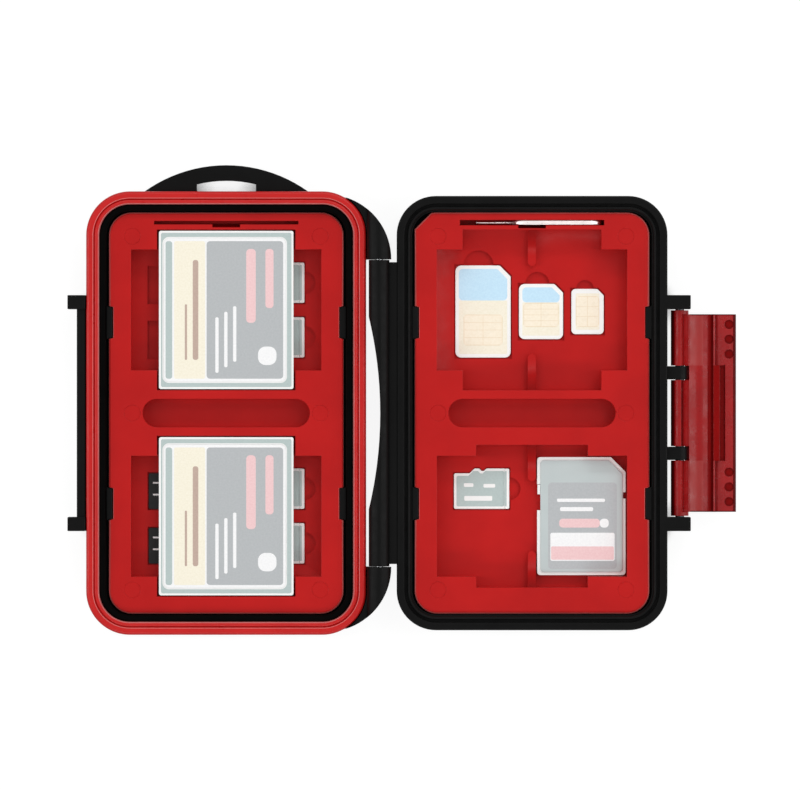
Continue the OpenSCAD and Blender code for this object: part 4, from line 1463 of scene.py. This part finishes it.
@dataclass
class MicroCard:
    """microSD card: a small plate with a stepped edge and a ridge at its rear end."""

    node: str
    body: str
    black: bool = False
    ridge: float = 1.3
    ridge_r: float = 0.4
    ridge_edge: float = 0.12
    thin: float = 0.3
    step: float = 1.3
    corner: float = 0.5
    edge: float = 0.1
    border: float = 0.7
    # A printed line's width, length and corner radius, and its place from the card's left edge and middle
    line: Point = (4.5, 0.45, 0.15)
    line_at: Point = (3.4, 1.6)
    # A printed bar's place from there, and its width and length
    bars: tuple[Point, ...] = ((4.0, 1.0, 2.6, 1.0), (9.6, 0.8, 3.2, 1.0), (6.6, -2.6, 7.6, 1.3))
    bar_r: float = 0.3
    bar_up: float = 0.03

    def outline(self, box: Box, end: float, inset: float) -> list[Point]:
        """Outline of the card as far as its rear end, inset from its edge.

        Args:
            box: The card's box.
            end: Where the outline ends along X.
            inset: Distance from the card's edge.

        Returns:
            The outline's points.
        """
        middle = (box.low.x + end) / 2
        notch = self.step / 2
        left, right = box.low.x + inset, end - inset
        bottom, top = box.low.y + inset, box.high.y - inset
        return rounded_outline([
            (left, bottom, self.corner), (right, bottom, self.corner), (right, top, self.corner),
            (middle + 2 * notch, top, 0.1), (middle + notch, top - notch, 0.1), (middle, top - notch, 0.1),
            (middle - notch, top, 0.1), (middle - 3 * notch, top, 0.2),
            (middle - 3 * notch - self.step, top - self.step, 0.2), (left, top - self.step, self.corner),
        ], 4)

    def build(self, palette: Palette) -> None:
        """Makes the card.

        Args:
            palette: The case's finishes.
        """
        box = box_mm(self.node)
        left, right, middle_y, top = box.low.x, box.high.x, box.middle.y, box.high.z
        face_z = top - self.thin
        card = Slabs()
        card.add(self.outline(box, right, 0), box.low.z, face_z, 0, self.edge)
        ridge = rectangle(self.ridge, box.size.y - 0.1, self.ridge_r, (right - self.ridge / 2, middle_y))
        card.add(ridge, face_z - 0.1, top, 0, self.ridge_edge)
        if self.black:
            materials = [palette.card_black, palette.ink_white]
            for row in (-1, 1):
                line = rectangle(*self.line, (left + self.line_at[0], middle_y + row * self.line_at[1]))
                card.add(line, face_z - PRINT_DEEP, face_z + PRINT_UP, 1)
        else:
            materials = [palette.card_white, palette.ink_cool]
            field = self.outline(box, right - self.ridge + self.border - 0.05, self.border)
            card.add(field, face_z - PRINT_DEEP, face_z + PRINT_UP, 1)
            strip = rectangle(
                self.ridge - self.border, box.size.y - 2 * self.border, 0.1,
                (right - (self.ridge + self.border) / 2, middle_y),
            )
            card.add(strip, top - PRINT_DEEP, top + PRINT_UP, 1)
            for across, up, bar_l, bar_w in self.bars:
                bar = rectangle(bar_l, bar_w, self.bar_r, (left + across, middle_y + up))
                card.add(bar, face_z, face_z + self.bar_up)
        finished(card.piece(self.node + "_moulded", *materials), self.body, [self.node])


@dataclass
class SimCard:
    """SIM card: white plastic with a pale print and a plate of contact pads."""

    node: str
    body: str
    pads: tuple[int, int] = (2, 4)
    corner: float = 1.6
    border: float = 0.95
    blue_share: float = 0.37
    cut_share: float = 0.2
    edge: float = 0.1
    plate_r: float = 1.0
    plate_up: float = 0.02
    pads_in: float = 0.3

    def outline(self, box: Box, low_y: float, inset: float) -> list[Point]:
        """Outline of the card above a line, inset from its edge, with its upper right corner cut.

        Args:
            box: The card's box.
            low_y: The line, along Y.
            inset: Distance from the line and from the card's edge.

        Returns:
            The outline's points.
        """
        cut = box.size.x * self.cut_share - inset * 0.3
        radius = max(self.corner - inset * 0.5, 0.2)
        left, right = box.low.x + inset, box.high.x - inset
        bottom, top = low_y + inset, box.high.y - inset
        return rounded_outline([
            (left, bottom, radius), (right, bottom, radius), (right, top - cut, 0.5), (right - cut, top, 0.5),
            (left, top, radius),
        ])

    def build(self, palette: Palette) -> None:
        """Makes the card and its contact plate.

        Args:
            palette: The case's finishes.
        """
        box = box_mm(self.node)
        top = box.high.z
        split = box.high.y - self.border - (box.size.y - 2 * self.border) * self.blue_share
        card = Slabs()
        card.add(self.outline(box, box.low.y, 0), box.low.z, top, 0, self.edge)
        if self.blue_share > 0:
            card.add(self.outline(box, split - self.border, self.border), top - PRINT_DEEP, top + PRINT_UP, 1)
        bottom = box.low.y + self.border
        field = rectangle(
            box.size.x - 2 * self.border, split - bottom - 0.05, 0.3, (box.middle.x, (split + bottom) / 2)
        )
        card.add(field, top - PRINT_DEEP, top + PRINT_UP, 2)
        piece = card.piece(self.node + "_printed", palette.sim_plastic, palette.ink_sky, palette.ink_cream)
        finished(piece, self.body, [self.node])
        self.build_contacts(palette, split - 0.1 if self.blue_share > 0 else box.high.y)

    def build_contacts(self, palette: Palette, limit: float) -> None:
        """Makes the contact plate, which stays below a limit, so that it leaves the blue print free.

        Args:
            palette: The case's finishes.
            limit: Greatest Y of the plate in millimetres.
        """
        node = self.node + "_contacts"
        box = box_mm(node)
        box.high.y = min(box.high.y, limit)
        plate = Slabs()
        outline = rectangle(box.size.x, box.size.y, self.plate_r, box.middle)
        plate.add(outline, box.low.z, box.high.z + self.plate_up)
        piece = plate.piece(node + "_plated", palette.contact_gap)
        grid = (box.size.x - self.pads_in, box.size.y - self.pads_in)
        pads = contact_pads(node + "_pads", box.top(0.01), grid, self.pads, palette.contact)
        finished(joined(piece, pads), self.body, [node])


# Studio

@dataclass(frozen=True)
class Lamp:
    """Soft square lamp, or a strip of the given length, in metres and watts."""

    name: str
    place: Corner
    width: float
    power: float
    length: float = 0.0

    def hang(self, target: Vector) -> None:
        """Hangs the lamp so that it points at the target.

        Args:
            target: Point that it lights, in metres.
        """
        data = bpy.data.lights.new(self.name, "AREA")
        data.size, data.energy = self.width, self.power
        if self.length:
            data.shape, data.size_y = "RECTANGLE", self.length
        made = new_object(self.name, data)
        made.location = self.place
        made.rotation_euler = (target - Vector(self.place)).to_track_quat("-Z", "Y").to_euler()


@dataclass
class Studio:
    """Pale floor, soft lamps and a camera that looks straight down."""

    image: tuple[int, int] = (800, 790)
    px_per_mm: float = 3.7
    origin_px: Point = (532.1, 413.1)
    rim_z: float = 12.0
    camera_up_m: float = 3.2
    sensor_mm: float = 36.0
    floor_half_m: float = 3.0
    floor_gap_m: float = 0.00005
    # Reach of the floor's painted shade, and how its glow falls as the case closes over it
    slit_mm: float = 6.0
    slit_sky: Point = (0.25, 0.45)
    slit_glow: Point = (0.12, 0.9)
    target_x_m: float = -0.035
    lamps: tuple[Lamp, ...] = (
        Lamp("key", (0.3, 0.45, 0.75), 0.35, 1.0),
        Lamp("strip_right", (0.62, 0, 0.5), 0.12, 1.75, 1.0),
        Lamp("strip_left", (-0.7, 0, 0.5), 0.12, 1.75, 1.0),
        Lamp("strip_top", (-0.035, 0.66, 0.5), 1.0, 1.75, 0.12),
        Lamp("strip_bottom", (-0.035, -0.66, 0.5), 1.0, 1.75, 0.12),
    )

    def camera(self) -> None:
        """Places the camera over the middle of the picture."""
        x = (self.image[0] / 2 - self.origin_px[0]) / self.px_per_mm
        y = (self.origin_px[1] - self.image[1] / 2) / self.px_per_mm
        view_w = self.image[0] / self.px_per_mm * MM
        data = bpy.data.cameras.new("camera")
        data.sensor_width = self.sensor_mm
        data.lens = self.sensor_mm * self.camera_up_m / view_w
        data.clip_start, data.clip_end = 0.1, 20.0
        made = new_object("camera", data)
        made.location = (x * MM, y * MM, self.camera_up_m + self.rim_z * MM)
        bpy.context.scene.camera = made

    def background(self, tree: bpy.types.NodeTree) -> bpy.types.NodeSocket:
        """Finds the rays that show the background: to the camera, in gloss and through clear plastic.

        Args:
            tree: Tree of the floor's material or of the world.

        Returns:
            A value of 1 for such rays and 0 for others.
        """
        rays = add_node(tree, "ShaderNodeLightPath")
        first = add_node(tree, "ShaderNodeMath", {"operation": "MAXIMUM"}, {
            0: rays.outputs["Is Camera Ray"], 1: rays.outputs["Is Glossy Ray"],
        })
        both = add_node(tree, "ShaderNodeMath", {"operation": "MAXIMUM"}, {
            0: first.outputs[0], 1: rays.outputs["Is Transmission Ray"],
        })
        return both.outputs[0]

    def floor(self) -> None:
        """Lays the floor, which shows white but keeps the case's shadow, and dims its glow under the case as
        painted shade.
        """
        half = self.floor_half_m
        mesh = bpy.data.meshes.new("floor")
        mesh.from_pydata(
            [(-half, -half, 0), (half, -half, 0), (half, half, 0), (-half, half, 0)], [], [(0, 1, 2, 3)]
        )
        plane = new_object("floor", mesh)
        plane.location.z = CAD_BOX[0][2] - self.floor_gap_m
        material, tree = new_material("floor_pale")
        paper = add_node(tree, "ShaderNodeBsdfDiffuse", inputs={"Color": (0.16, 0.16, 0.16, 1)})
        # Painted shade: the floor's glow dims where the case stands close above it, so the narrow slits beside
        # the latch and the hinge stay dim
        sky = add_node(tree, "ShaderNodeAmbientOcclusion", {"samples": 16}, {"Distance": self.slit_mm * MM})
        strength = add_node(tree, "ShaderNodeMapRange", inputs={
            "Value": sky.outputs["AO"], "From Min": self.slit_sky[0], "From Max": self.slit_sky[1],
            "To Min": self.slit_glow[0], "To Max": self.slit_glow[1],
        })
        glow = add_node(tree, "ShaderNodeEmission", inputs={
            "Color": (1, 1, 1, 1), "Strength": strength.outputs["Result"],
        })
        lit = add_node(tree, "ShaderNodeAddShader", inputs={0: paper.outputs[0], 1: glow.outputs[0]})
        shown = add_node(tree, "ShaderNodeMixShader", inputs={
            0: self.background(tree), 1: paper.outputs[0], 2: lit.outputs[0],
        })
        add_node(tree, "ShaderNodeOutputMaterial", inputs={"Surface": shown.outputs[0]})
        mesh.materials.append(material)

    def world(self, strength: float = 0.45) -> None:
        """Lights the case evenly from all sides, and shows white behind it.

        Args:
            strength: Strength of the even light.
        """
        world = bpy.data.worlds.new("studio")
        bpy.context.scene.world = world
        world.use_nodes = True
        tree = world.node_tree
        tree.nodes.clear()
        soft = add_node(tree, "ShaderNodeBackground", inputs={"Color": (1, 1, 1, 1), "Strength": strength})
        white = add_node(tree, "ShaderNodeBackground", inputs={"Color": (1, 1, 1, 1), "Strength": 1.0})
        mix = add_node(tree, "ShaderNodeMixShader", inputs={
            0: self.background(tree), 1: soft.outputs[0], 2: white.outputs[0],
        })
        add_node(tree, "ShaderNodeOutputWorld", inputs={"Surface": mix.outputs[0]})

    def build(self) -> None:
        """Sets up the whole studio."""
        self.camera()
        self.floor()
        self.world()
        for lamp in self.lamps:
            lamp.hang(Vector((self.target_x_m, 0, 0)))
        bpy.context.scene.view_settings.view_transform = "Standard"


def main() -> None:
    """Builds the studio and every piece."""
    Studio().build()
    palette = Palette()
    Shell("base_shell", "base").build(palette)
    Shell("lid_shell", "lid").build(palette)
    CardTray("base_tray", "base").build(palette)
    CardTray("lid_tray", "lid").build(palette)
    SealedRim().build(palette)
    ClearLatch().build(palette)
    build_pins(palette)
    for side in ("upper", "lower"):
        LargeCard(side).build(palette)
    SdCard().build(palette)
    MicroCard("microsd_base", "microsd").build(palette)
    for number in range(1, 7):
        MicroCard(f"microsd_{number}", "lid", black=number >= 5).build(palette)
    SimCard("mini_sim", "mini_sim_card").build(palette)
    SimCard("micro_sim", "micro_sim_card", blue_share=0.31).build(palette)
    SimCard("nano_sim", "nano_sim_card", (2, 3), 1.2, 1.2, 0.0).build(palette)
    # The tool's edges are tumbled round
    rounded_copy("sim_tool", "tumbled", lambda edge: 0.12, "eject_tool", palette.tool)


if __name__ == "__main__":
    main()
